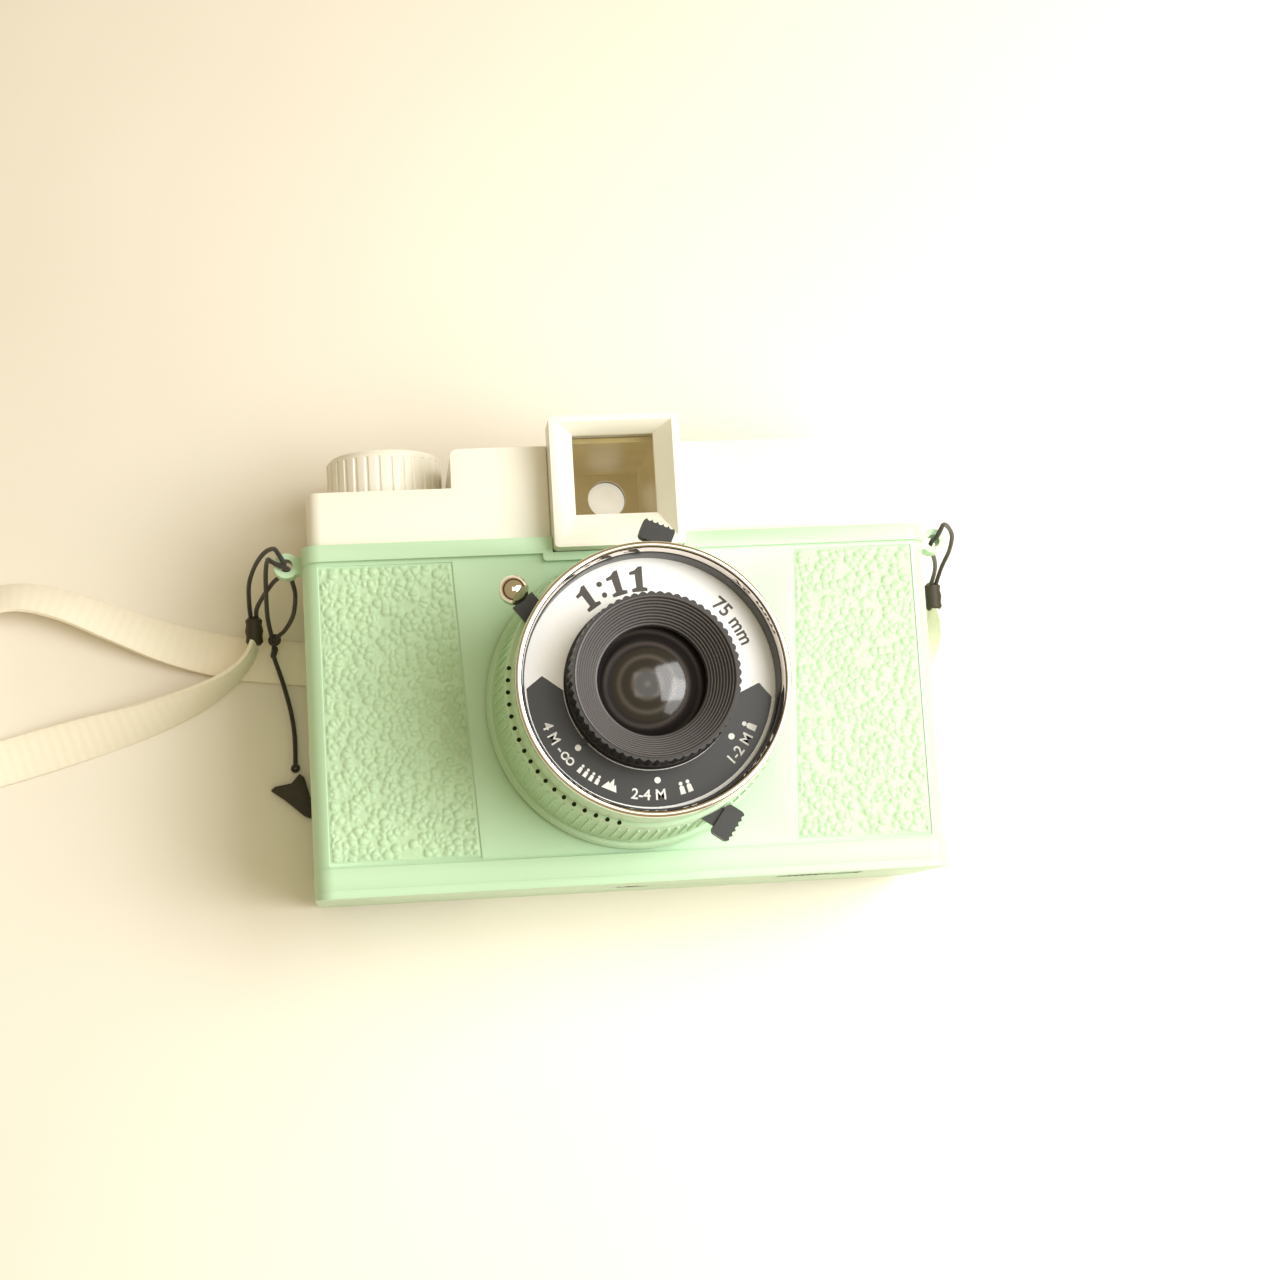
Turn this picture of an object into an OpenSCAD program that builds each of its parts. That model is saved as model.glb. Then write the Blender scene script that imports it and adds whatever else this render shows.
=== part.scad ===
// Box camera for 120 roll film, lying on its back: +X to the viewer's right,
// +Y towards the finder side, +Z along the lens axis, and the floor at z = 0.
// Heights are measured along Y from the underside of the body.

/* [Body] */
// Width of the body over its sides
body_w = 130.2; // [124:0.1:160]
// Height of the green shell from the underside to its upper lip
shell_h = 71.9; // [71.5:0.1:90]
// Distance of the plain front face from the floor
body_front = 44; // [40:0.5:60]
// Wall of the shell
wall = 1.9; // [1.7:0.1:2.6]
// Radius of the upright front corners
corner_r = 4; // [3:0.5:6]
// Gap under the back cover, held open by the eyepiece and the finger rib
rest_gap = 3; // [2.5:0.5:6]
// Thickness of the back panel
panel_t = 2; // [1.6:0.1:3]
// Thickness of the bottom plate
bottom_t = 1.7; // [1.5:0.1:2.4]
// How far the lips stand proud of the front face
lip_out = 1.5; // [0.8:0.1:2.5]
// Height of the upper lip
lip_h = 3.4; // [2.4:0.1:5]
// Height of the lower ledge above the bottom plate
ledge_h = 4.3; // [3:0.1:6]

/* [Top cover] */
// Width of the top cover
cover_w = 127.6; // [120:0.1:156]
// Height of the main block's top
cover_h = 91.8; // [90:0.1:110]
// Height of the deck under the winding knob
deck_h = 83.5; // [82:0.1:100]
// Where the deck ends and the main block starts, from the middle
deck_end = -33.7; // [-34:0.1:-30]
// Front of the top cover above the floor
cover_front = 42; // [38:0.5:58]
// Wall of the top cover
cover_wall = 1.8; // [1.2:0.1:2.4]
// Spacing of the two flash sockets
flash_pitch = 12.5; // [9:0.5:16]
// Bore radius of a flash socket
flash_r = 1.3; // [1:0.05:1.6]

/* [Finder] */
// Width of the finder frame
finder_w = 27; // [24:0.5:30]
// Top of the finder frame
finder_top = 96.3; // [96:0.1:116]
// Bottom of the finder frame
finder_low = 68.8; // [67.5:0.1:68.8]
// Front of the finder frame above the floor
finder_front = 50; // [47:0.5:66]
// Width of the finder window
window_w = 17; // [14:0.1:18]
// Height of the finder window
window_h = 16.9; // [14:0.1:17]
// Bottom of the finder window
window_low = 76.1; // [75.8:0.1:76.4]
// Clear radius of the eyepiece
eye_r = 3.2; // [2.5:0.1:4]

/* [Film] */
// Distance of each spool axis from the middle
chamber_x = 47.1; // [46.5:0.1:47.5]
// Height of the spool axes above the floor
chamber_z = 20; // [19.5:0.1:22]
// Radius of a 120 spool flange
spool_r = 12.55; // [12.5:0.01:12.6]
// Length of a 120 spool
spool_len = 65.8; // [65.4:0.1:66]
// Bore radius of a 120 spool
spool_bore = 2.85; // [2.75:0.01:2.95]
// Side of the film gate
gate = 52; // [48:0.5:54]
// Side of the small picture mask's window
mask_win = 42; // [38:0.5:44]

/* [Winding knob] */
// Radius of the winding knob
knob_r = 12.3; // [10:0.1:12.4]
// Top of the winding knob
knob_top = 94.6; // [92:0.1:110]
// Number of grip grooves
knob_grooves = 30; // [20:1:40]

/* [Lens] */
// Lens axis from the middle of the body
lens_x = 1.2; // [0:0.1:2]
// Height of the lens axis above the underside
lens_h = 37; // [36.5:0.1:40]
// Radius of the barrel's base flange
base_r = 30.2; // [29.4:0.1:31]
// Height of the base flange's rear face above the front face
base_gap = 0.6; // [0.4:0.1:1.5]
// Length from the front face to the scale plate
plate_up = 30; // [30:0.5:40]
// Radius of the chrome bezel
bezel_r = 26.55; // [26.4:0.05:27]
// Height of the bezel above the scale plate
bezel_up = 8; // [6:0.5:10]
// Radius of the focus ring
focus_r = 16.3; // [16.1:0.1:18]
// Height of the focus ring's front above the scale plate
focus_up = 11; // [10.8:0.1:13]
// Free radius of the front lens
glass_r = 10.6; // [10:0.1:10.9]
// Pivot pin radius of the shutter levers
pivot_r = 1.5; // [1.2:0.05:1.8]
// Aperture hole diameters, largest first
stop_d = [6.8, 4.7, 3.4, 0.5];

/* [Back] */
// Height of the red window above the underside
red_h = 24; // [18:0.5:30]
// Red window from the middle
red_x = 9; // [4:0.5:14]
// Radius of the red window
red_r = 4; // [3:0.1:4.2]
// Inner radius of the tripod bush, a quarter inch thread
bush_r = 2.6; // [2.5:0.05:2.7]
// Height of the tripod bush
bush_len = 7; // [6:0.1:7]
// Distance of the tripod bush from the floor
bush_z = 24; // [20:0.5:30]

/* [Strap] */
// Width of the neck ribbon
strap_w = 9.5; // [8:0.5:10]
// Thickness of the neck ribbon
strap_t = 1.1; // [0.8:0.1:1.4]
// Diameter of the thin cords
cord_d = 1; // [0.8:0.1:1.2]

/* [Hidden] */
$fn = 64;

// clearances
fit = 0.05;        // running fit, per side
slip = 0.15;       // gap between fixed neighbours
free = 0.4;        // gap between pieces that pass each other
eps = 0.01;

// colours
green = [0.74, 0.85, 0.64];
cream = [0.96, 0.94, 0.88];
black = [0.10, 0.10, 0.10];
chrome = [0.78, 0.77, 0.75];
ribbon = [0.88, 0.82, 0.70];

// depths above the floor
panel_z0 = rest_gap;
panel_z1 = rest_gap + panel_t;
shell_z0 = panel_z1 + 0.2;
front_in = body_front - wall;
lip_z = body_front + lip_out;
base_z = body_front + base_gap;
plate_z = body_front + plate_up;          // front of the scale plate
bezel_z = plate_z + bezel_up;
focus_z = plate_z + focus_up;

// heights above the underside
ceiling_h = shell_h - wall;               // inside of the shell's top wall
shelf_h0 = bottom_t + 0.6;
shelf_h1 = shelf_h0 + 1.1;
spool_h0 = shelf_h1 + 0.2;
spool_h1 = spool_h0 + spool_len;
key_gap = 0.07;                            // between the spool and the key's shoulder
side_x = body_w / 2;
side_in = side_x - wall;

// finder
finder_z0 = cover_front - 0.5;
window_z = finder_front - 4;
eye_x = 2.2;
eye_h = window_low + 10.7;
hump_w = finder_w - 1.8;
hump_h = finder_top - 0.7;

// film gate and light tunnel
tunnel_t = 2;
tunnel_z0 = chamber_z - 11;
tunnel_z1 = front_in - 2.1;

// lens parts, radii
mount_r = 24;
throat_r = 20.9;
seat_r = 25;                               // inside of the barrel's front end
cell_r = 13;
boss_r = 14.4;
bezel_in = seat_r - 0.9;

// shutter pieces, as layers under the scale plate
plate_t = 1.2;
lever_z1 = plate_z - plate_t - free;       // top of the lever layer
lever_z0 = lever_z1 - 1.3;
blade_z1 = lever_z0 - 0.3;
blade_z0 = blade_z1 - 0.6;
spacer_z1 = blade_z0 - 0.3;
spacer_z0 = spacer_z1 - 0.6;
stop_z1 = spacer_z0 - 0.5;
stop_z0 = stop_z1 - 0.9;
shutter_z1 = stop_z0 - 0.4;
shutter_z0 = shutter_z1 - 1.3;

// pivots, measured from the lens axis
arm_pivot = [-16.6, 8.6];
arm_len = 14;
arm_angle = 128;
ball_r = 2.95;
mode_pivot = [-2.2, 17.5];
mode_angle = 65.6;
mode_reach = 15.4;
stop_pivot = [0.5, -17.6];
stop_angle = 324.5;
stop_reach = 18.9;
blade_pivot = [-10, 11.5];
spring_at = [-15.2, 2];
spring_r = 1.2;
stop_arm_r = norm(stop_pivot);
axis_dir = atan2(-stop_pivot[1], -stop_pivot[0]);
stop_steps = [0, 24, 42.4, 55.4];

// leatherette panels, measured from the lens axis and the sides
panel_top = shell_h - lip_h - 0.8;
panel_low = bottom_t + ledge_h + 0.6;
panel_in_top = 35.6;
panel_in_low = 32.4;
panel_out = side_x - 3.2;
panel_deep = 0.3;

// lugs
lug_x = side_x + 3.2;
lug_h = 69.2;
lug_z0 = 34;
lug_z1 = 38.5;
lug_hole = 1.35;

function hy(h) = h - finder_top / 2;

module at_lens() {
    translate([lens_x, hy(lens_h), 0]) children();
}

// extrudes an outline drawn in X and Z along Y, between two heights
module along_y(h0, h1) {
    translate([0, hy(h1), 0]) rotate([90, 0, 0]) linear_extrude(h1 - h0) children();
}

// extrudes an outline drawn in X and height along Z
module along_z(z0, z1) {
    translate([0, hy(0), z0]) linear_extrude(z1 - z0) children();
}

module rod_y(x, z, h0, h1, r) {
    along_y(h0, h1) translate([x, z]) circle(r);
}

module block(x0, x1, h0, h1, z0, z1) {
    translate([x0, hy(h0), z0]) cube([x1 - x0, h1 - h0, z1 - z0]);
}

module round_rect(x0, y0, x1, y1, r) {
    translate([x0 + r, y0]) square([x1 - x0 - 2 * r, y1 - y0]);
    translate([x0, y0 + r]) square([x1 - x0, y1 - y0 - 2 * r]);
    for (x = [x0 + r, x1 - r], y = [y0 + r, y1 - r]) translate([x, y]) circle(r);
}

// ring sector around the Z axis
module sector(r0, r1, a0, a1, z0, z1) {
    rotate([0, 0, a0]) rotate_extrude(angle = a1 - a0)
        translate([r0, z0]) square([r1 - r0, z1 - z0]);
}

module tube(r0, r1, z0, z1) {
    difference() {
        translate([0, 0, z0]) cylinder(r = r1, h = z1 - z0);
        translate([0, 0, z0 - 1]) cylinder(r = r0, h = z1 - z0 + 2);
    }
}

// ---------------------------------------------------------------- body

// outline of the body in plan: square at the back, rounded at the front
module plan(inset, z0, front) {
    w = side_x - inset;
    r = corner_r - min(inset, corner_r - 0.5);
    translate([-w, z0]) square([2 * w, front - r - z0]);
    translate([r - w, z0]) square([2 * (w - r), front - z0]);
    for (s = [-1, 1]) translate([s * (w - r), front - r]) circle(r);
}

module leather_outline(side) {
    top_x = lens_x + side * panel_in_top;
    low_x = lens_x + side * panel_in_low;
    polygon([[top_x, panel_top], [side * panel_out, panel_top],
             [side * panel_out, panel_low], [low_x, panel_low]]);
}

module lug(side) {
    along_z(lug_z0, lug_z1)
        translate([side * (side_x + 1.5), lug_h]) square([5, 3.4], center = true);
    along_z(lug_z0, lug_z1) translate([side * lug_x, lug_h]) circle(2.6);
}

module front_shell() {
    color(green) difference() {
        union() {
            along_y(bottom_t, shell_h) plan(0, shell_z0, body_front);
            along_y(shell_h - lip_h, shell_h) intersection() {
                plan(0, shell_z0, lip_z);
                translate([-side_x, body_front - corner_r]) square([body_w, corner_r + lip_out]);
            }
            along_y(bottom_t, bottom_t + ledge_h) intersection() {
                plan(0, shell_z0, lip_z);
                translate([-side_x, body_front - corner_r]) square([body_w, corner_r + lip_out]);
            }
            along_z(body_front - 1, lip_z) round_rect(-finder_w / 2 - 2.2, finder_low - 1.9,
                finder_w / 2 + 2.2, shell_h, 0.8);
            for (s = [-1, 1]) lug(s);
        }
        difference() {
            along_y(bottom_t - 1, ceiling_h) plan(wall, -1, front_in);
            for (s = [-1, 1]) translate([lens_x + s * (gate / 2 + tunnel_t + 2.6), hy(lens_h), tunnel_z1 + 0.05])
                cylinder(r = 2.1, h = wall + 2);
        }
        for (s = [-1, 1]) translate([lens_x + s * (gate / 2 + tunnel_t + 2.6), hy(lens_h), 30])
            cylinder(r = 1.1, h = front_in - 29.9);
        at_lens() translate([0, 0, body_front]) cylinder(r = base_r + 0.35, h = 4);
        at_lens() translate([0, 0, front_in - 1]) cylinder(r = mount_r, h = wall + 2, $fn = 96);
        block(-finder_w / 2 - slip, finder_w / 2 + slip, finder_low - slip, shell_h + 1,
            finder_z0 - slip, lip_z + 1);
        rod_y(-chamber_x, chamber_z, ceiling_h - 1, shell_h + 1, 4 + fit);
        for (s = [-1, 1]) {
            along_y(0, ceiling_h - eps)
                translate([s > 0 ? side_in - 0.1 : -side_in - 1, panel_z1 + 2]) square([1.1, 1.8]);
            along_z(body_front - panel_deep, body_front + 1) leather_outline(s);
            translate([s * lug_x, hy(lug_h), lug_z0 - 1]) cylinder(r = lug_hole, h = 7);
        }
        at_lens() for (a = [30, 150, 270]) rotate([0, 0, a])
            translate([25.4, 0, front_in - 1]) cylinder(r = 0.8, h = 2.2);
    }
}

module back_cover() {
    rail_x = side_in - 1.6;
    color(green) difference() {
        union() {
            along_y(0, shell_h - 0.4) round_rect(-side_x, panel_z0, side_x, panel_z1, 0.9);
            along_y(0, bottom_t - eps) plan(0, panel_z0, lip_z);
            for (s = [-1, 1]) {
                along_y(bottom_t + 0.5, ceiling_h - 0.4)
                    translate([s > 0 ? rail_x : -rail_x - 1.3, panel_z1 - 0.5]) square([1.3, 4.1]);
                along_y(bottom_t + 0.5, ceiling_h - 0.4)
                    translate([s > 0 ? rail_x : -rail_x - 2.4, panel_z1 + 2.2]) square([2.4, 1.4]);
            }
            // finger rib that the camera also rests on
            along_z(0, panel_z0 + 0.5) round_rect(-32, 1, 32, 5, 1.9);
            // runners of the window shutter
            for (h = [red_h - 5.9, red_h + 4.7])
                block(red_x - 17, red_x + 7, h, h + 1.2, panel_z0 - 1.3, panel_z0 + 0.3);
            block(red_x - 17, red_x + 7, red_h - 5, red_h - 4.1, panel_z0 - 1.3, panel_z0 - 1.1);
            block(red_x - 17, red_x + 7, red_h + 4.1, red_h + 5, panel_z0 - 1.3, panel_z0 - 1.1);
            rod_y(0, bush_z, bottom_t - 0.5, bush_len + 0.5, 7);
        }
        translate([red_x, hy(red_h), panel_z0 - 2]) cylinder(r = red_r, h = panel_t + 4);
        translate([red_x, hy(red_h), panel_z1 - 1.05]) cylinder(r = red_r + 0.7, h = 3);
        rod_y(0, bush_z, -1, bush_len + 2, 4.5);
        block(30, 48, -1, bottom_t + 1, 31, 39);
    }
}

module red_window() {
    color([0.75, 0.05, 0.05, 0.6]) translate([red_x, hy(red_h), panel_z1 - 1])
        cylinder(r = red_r + 0.65, h = 0.95);
}

module window_shutter() {
    z0 = panel_z0 - 1.2;
    color(black) union() {
        block(red_x - 5.5, red_x + 5.5, red_h - 4.6, red_h + 4.6, z0 + 0.2, panel_z0 - 0.1);
        for (i = [-2 : 2])
            block(red_x + 1.2 * i - 0.3, red_x + 1.2 * i + 0.3, red_h - 3, red_h + 3, z0 - 0.3, z0 + 0.3);
    }
}

module back_lock() {
    color(black) union() {
        block(30.3, 41.7, 0.15, bottom_t - 0.15, 31.2, 38.8);
        block(31, 41, bottom_t - 0.2, bottom_t + 0.1, 31.6, 38.4);
        block(31, 41, bottom_t + 0.05, bottom_t + 0.35, 30, 40);
        for (i = [0 : 4]) block(33 + 1.4 * i, 33.6 + 1.4 * i, 0.02, 0.3, 32.5, 37.5);
    }
}

module tripod_bush() {
    color(chrome) difference() {
        rod_y(0, bush_z, 0.1, bush_len + 0.1, 4.45);
        rod_y(0, bush_z, -1, bush_len + 1, bush_r);
    }
}

module light_seal() {
    color([0.15, 0.15, 0.15]) block(-58, 58, ceiling_h - 0.9, ceiling_h, shell_z0, shell_z0 + 1.4);
}

// ---------------------------------------------------------------- film

module inner_frame() {
    x0 = lens_x - gate / 2 - tunnel_t;
    x1 = lens_x + gate / 2 + tunnel_t;
    h0 = lens_h - gate / 2 - tunnel_t;
    h1 = lens_h + gate / 2 + tunnel_t;
    color(black) difference() {
        union() {
            block(x0, x1, h0, h1, tunnel_z0, tunnel_z1);
            block(-side_in + 0.8, side_in - 0.8, shelf_h0, shelf_h1, panel_z1 + 4.5, tunnel_z1);
            block(x0, x0 + 1.6, shelf_h0, h0 + 1, 12, 36);
            block(x1 - 1.6, x1, shelf_h0, h0 + 1, 12, 36);
            for (s = [-1, 1]) {
                rod_y(s * chamber_x, chamber_z, shelf_h1 - 0.2, shelf_h1 + 3, spool_bore - 0.07);
                // film rollers beside the gate
                rod_y(lens_x + s * (gate / 2 + 4), tunnel_z0 + 1.5, h0, h1, 1.5);
                block(s > 0 ? x1 - 0.2 : x0 - 4.2, s > 0 ? x1 + 4.2 : x0 + 0.2,
                    h0, h1, tunnel_z0 + 1, tunnel_z0 + 2.4);
                // ears that the frame screws hold
                block(s > 0 ? x1 - 0.2 : x0 - 5, s > 0 ? x1 + 5 : x0 + 0.2,
                    lens_h - 5, lens_h + 5, tunnel_z1 - 1.6, tunnel_z1);
            }
        }
        block(x0 + tunnel_t, x1 - tunnel_t, lens_h - gate / 2, lens_h + gate / 2,
            tunnel_z0 - 1, tunnel_z0 + 1.6);
        block(x0 + tunnel_t + 0.8, x1 - tunnel_t - 0.8, lens_h - gate / 2 + 0.8,
            lens_h + gate / 2 - 0.8, tunnel_z0, tunnel_z1 - 1.5);
        at_lens() translate([0, 0, tunnel_z1 - 3]) cylinder(r = throat_r - 0.6, h = 5);
        block(x0 + 1.6, x1 - 1.6, 0, h0 - 1, 0, body_front);
        for (s = [-1, 1]) translate([s > 0 ? x1 + 2.6 : x0 - 2.6, hy(lens_h), 30])
            cylinder(r = 1.1, h = 20);
    }
}

module film_mask() {
    half = gate / 2 - 0.2;
    color([0.14, 0.14, 0.14]) difference() {
        block(lens_x - half, lens_x + half, lens_h - half, lens_h + half, tunnel_z0 + 0.4, tunnel_z0 + 1.5);
        block(lens_x - mask_win / 2, lens_x + mask_win / 2, lens_h - mask_win / 2,
            lens_h + mask_win / 2, 0, 30);
    }
}

module supply_pin() {
    color(black) union() {
        rod_y(chamber_x, chamber_z, spool_h1 - 3, ceiling_h - 0.1, spool_bore - 0.07);
        rod_y(chamber_x, chamber_z, spool_h1 + 0.15, ceiling_h - 0.05, 5);
    }
}

module takeup_spool() {
    core = 6;
    color([0.16, 0.16, 0.17]) difference() {
        union() {
            rod_y(-chamber_x, chamber_z, spool_h0, spool_h1, core);
            rod_y(-chamber_x, chamber_z, spool_h0, spool_h0 + 1.2, spool_r);
            rod_y(-chamber_x, chamber_z, spool_h1 - 1.2, spool_h1, spool_r);
        }
        rod_y(-chamber_x, chamber_z, spool_h0 - 1, spool_h1 + 1, spool_bore);
        // slot for the winding key, and the film slot
        block(-chamber_x - 4.2, -chamber_x + 4.2, spool_h1 - 3.4, spool_h1 + 1, chamber_z - 0.8, chamber_z + 0.8);
        block(-chamber_x - 0.7, -chamber_x + 0.7, spool_h0 + 12, spool_h1 - 12,
            chamber_z - core - 1, chamber_z + core + 1);
    }
}

// star outline of the ratchet wheel
module star(n, r0, r1) {
    polygon([for (i = [0 : n - 1], k = [0, 1])
        let(a = 360 * (i + 0.12 * k) / n, r = k == 0 ? r0 : r1) [r * cos(a), r * sin(a)]]);
}

module winding_key() {
    color(chrome) union() {
        rod_y(-chamber_x, chamber_z, spool_h1 - 3, spool_h1 + 1, spool_bore - 0.07);
        block(-chamber_x - 4, -chamber_x + 4, spool_h1 - 3, spool_h1 - 0.3, chamber_z - 0.6, chamber_z + 0.6);
        rod_y(-chamber_x, chamber_z, spool_h1 + key_gap, knob_top - 4, 4);
        along_y(shell_h + 2.4, shell_h + 4.4) translate([-chamber_x, chamber_z]) star(24, 5.6, 6.6);
    }
}

module winding_knob() {
    h0 = deck_h + 0.9;
    color(cream) difference() {
        union() {
            rod_y(-chamber_x, chamber_z, h0, knob_top - 0.8, knob_r);
            rod_y(-chamber_x, chamber_z, knob_top - 1, knob_top, knob_r - 0.8);
        }
        rod_y(-chamber_x, chamber_z, h0 - 1, knob_top - 3.9, 4 + eps);
        for (i = [0 : knob_grooves - 1])
            rod_y(-chamber_x + knob_r * cos(360 * i / knob_grooves) * 1.02,
                chamber_z + knob_r * sin(360 * i / knob_grooves) * 1.02, h0 - 1, knob_top - 1.4, 0.55);
        along_y(knob_top - 0.9, knob_top + 1) translate([-chamber_x, chamber_z]) difference() {
            circle(knob_r - 2.4);
            circle(knob_r - 4.6);
        }
    }
}

module ratchet_pawl() {
    h0 = shell_h + 2.6;
    color(chrome) union() {
        block(-chamber_x + 8.2, -chamber_x + 8.6, h0, h0 + 1.6, chamber_z - 6, chamber_z + 9);
        block(-chamber_x + 7.1, -chamber_x + 8.3, h0, h0 + 1.6, chamber_z - 0.4, chamber_z + 0.1);
        block(-chamber_x + 8.2, -chamber_x + 11.5, shell_h + eps, h0 + 1.6, chamber_z + 8.6, chamber_z + 9);
        block(-chamber_x + 8.2, -chamber_x + 11.5, shell_h + eps, shell_h + 0.4, chamber_z + 4, chamber_z + 9);
    }
}

module roll_springs() {
    color(chrome) for (s = [-1, 1])
        translate([s * chamber_x, hy(lens_h), chamber_z]) rotate([90, 0, 0]) union() {
            sector(14.6, 15, 60, 120, -6, 6);
            translate([-2, 14.8, -6]) cube([4, front_in - chamber_z - 14.85, 12]);
        }
}

// ---------------------------------------------------------------- top cover

module cover_outline(inset) {
    w = cover_w / 2 - inset;
    round_rect(-w, shell_h - 6, deck_end + 5, deck_h - inset, 1.6);
    round_rect(deck_end + inset, shell_h - 6, w, cover_h - inset, 1.6);
    round_rect(-hump_w / 2 + inset, shell_h - 6, hump_w / 2 - inset, hump_h - inset, 1.6);
}

module top_cover() {
    w = cover_w / 2;
    color(cream) difference() {
        intersection() {
            along_z(panel_z0, cover_front) cover_outline(0);
            along_y(shell_h, finder_top) round_rect(-w, panel_z0, w, cover_front, 3);
        }
        intersection() {
            along_z(panel_z0 + cover_wall, cover_front - cover_wall) cover_outline(cover_wall);
            along_y(shell_h - 1, finder_top)
                round_rect(cover_wall - w, panel_z0 + cover_wall, w - cover_wall,
                    cover_front - cover_wall, 1.2);
        }
        block(-finder_w / 2 - slip, finder_w / 2 + slip, finder_low - 2, finder_top + 1,
            finder_z0 - slip, cover_front + 1);
        block(-10.7, 10.7, window_low - 1.6, window_low + window_h + 0.6, cover_front - 4, cover_front + 1);
        translate([eye_x, hy(eye_h), 0]) cylinder(r = eye_r + 1.85, h = 8);
        rod_y(-chamber_x, chamber_z, deck_h - 4, deck_h + 1, 4.3);
        for (s = [-1, 1]) rod_y(32 + s * flash_pitch / 2, 22, cover_h - 5, cover_h + 1, flash_r + 0.95);
    }
}

module flash_sockets() {
    color(chrome) for (s = [-1, 1]) difference() {
        rod_y(32 + s * flash_pitch / 2, 22, cover_h - 8, cover_h - 0.05, flash_r + 0.9);
        rod_y(32 + s * flash_pitch / 2, 22, cover_h - 7, cover_h + 1, flash_r);
    }
}

module finder_frame() {
    win_x = window_w / 2;
    win_top = window_low + window_h;
    color(cream) difference() {
        along_z(finder_z0, finder_front)
            round_rect(-finder_w / 2, finder_low, finder_w / 2, finder_top, 0.9);
        hull() {
            block(-win_x, win_x, window_low, win_top, window_z, window_z + eps);
            block(1.5 - finder_w / 2, finder_w / 2 - 1.5, finder_low + 1.6, finder_top - 1.3,
                finder_front, finder_front + eps);
        }
        block(-win_x, win_x, window_low, win_top, finder_z0 - 1, finder_front);
        block(-win_x - 0.6, win_x + 0.6, window_low - 0.6, win_top + 0.6, finder_z0 - 1, window_z - 1.2);
    }
}

module finder_glass() {
    win_x = window_w / 2 + 0.5;
    color([0.8, 0.9, 0.9, 0.4])
        block(-win_x, win_x, window_low - 0.5, window_low + window_h + 0.5, window_z - 2.8, window_z - 1.25);
}

module finder_tunnel() {
    h0 = window_low - 1.4;
    h1 = window_low + window_h + 0.2;
    z0 = panel_z0 + cover_wall + 3.2;
    color([0.6, 0.52, 0.32]) difference() {
        block(-10.2, 10.2, h0, h1, z0, finder_z0 - 0.2);
        block(-9.2, 9.2, h0 + 1, h1 - 1, z0 + 1, finder_z0 + 1);
        translate([eye_x, hy(eye_h), 0]) cylinder(r = eye_r + 1, h = 12);
    }
}

module eyepiece_ring() {
    color(black) translate([eye_x, hy(eye_h), 0]) difference() {
        union() {
            cylinder(r = 7.5, h = panel_z0 - 0.05);
            cylinder(r = eye_r + 1.8, h = panel_z0 + cover_wall + 3);
        }
        translate([0, 0, -1]) cylinder(r = eye_r, h = 12);
        translate([0, 0, -1]) cylinder(r = eye_r + 1.6, h = 2);
        translate([0, 0, panel_z0 + 1.8]) cylinder(r = eye_r + 1.05, h = 9);
    }
}

module eyepiece_lens() {
    color([0.8, 0.9, 0.9, 0.4]) translate([eye_x, hy(eye_h), panel_z0 + 1.85])
        cylinder(r = eye_r + 1, h = 1.8);
}

// ---------------------------------------------------------------- lens

module bayonet_plate() {
    color(black) at_lens() difference() {
        union() {
            tube(throat_r + fit, mount_r - fit, front_in + 0.2, body_front);
            tube(mount_r - 1, mount_r - fit, front_in - 1.1, body_front);
            tube(mount_r - 1, 27, front_in - 1.1, front_in - eps);
        }
        for (a = [35 : 120 : 275]) sector(throat_r - 1, 22.9, a - 4, a + 44, 0, body_front + 1);
        for (a = [30, 150, 270]) rotate([0, 0, a]) translate([25.4, 0, 0]) cylinder(r = 0.85, h = 60);
    }
}

module mount_screws() {
    color(chrome) at_lens() for (a = [30, 150, 270]) rotate([0, 0, a]) translate([25.4, 0, 0]) difference() {
        union() {
            translate([0, 0, front_in - 1.5]) cylinder(r = 0.78, h = 2.5);
            translate([0, 0, front_in - 2]) cylinder(r = 1.5, h = 0.89);
        }
        translate([-2, -0.2, front_in - 2.1]) cube([4, 0.4, 0.5]);
    }
}

module frame_screws() {
    x0 = lens_x - gate / 2 - tunnel_t - 2.6;
    x1 = lens_x + gate / 2 + tunnel_t + 2.6;
    color(chrome) for (x = [x0, x1]) translate([x, hy(lens_h), 0]) difference() {
        union() {
            translate([0, 0, tunnel_z1 - 2]) cylinder(r = 1.05, h = front_in - tunnel_z1 + 1.95);
            translate([0, 0, tunnel_z1 - 3]) cylinder(r = 2.1, h = 1.39);
        }
        translate([-3, -0.25, tunnel_z1 - 3.1]) cube([6, 0.5, 0.8]);
    }
}

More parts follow.
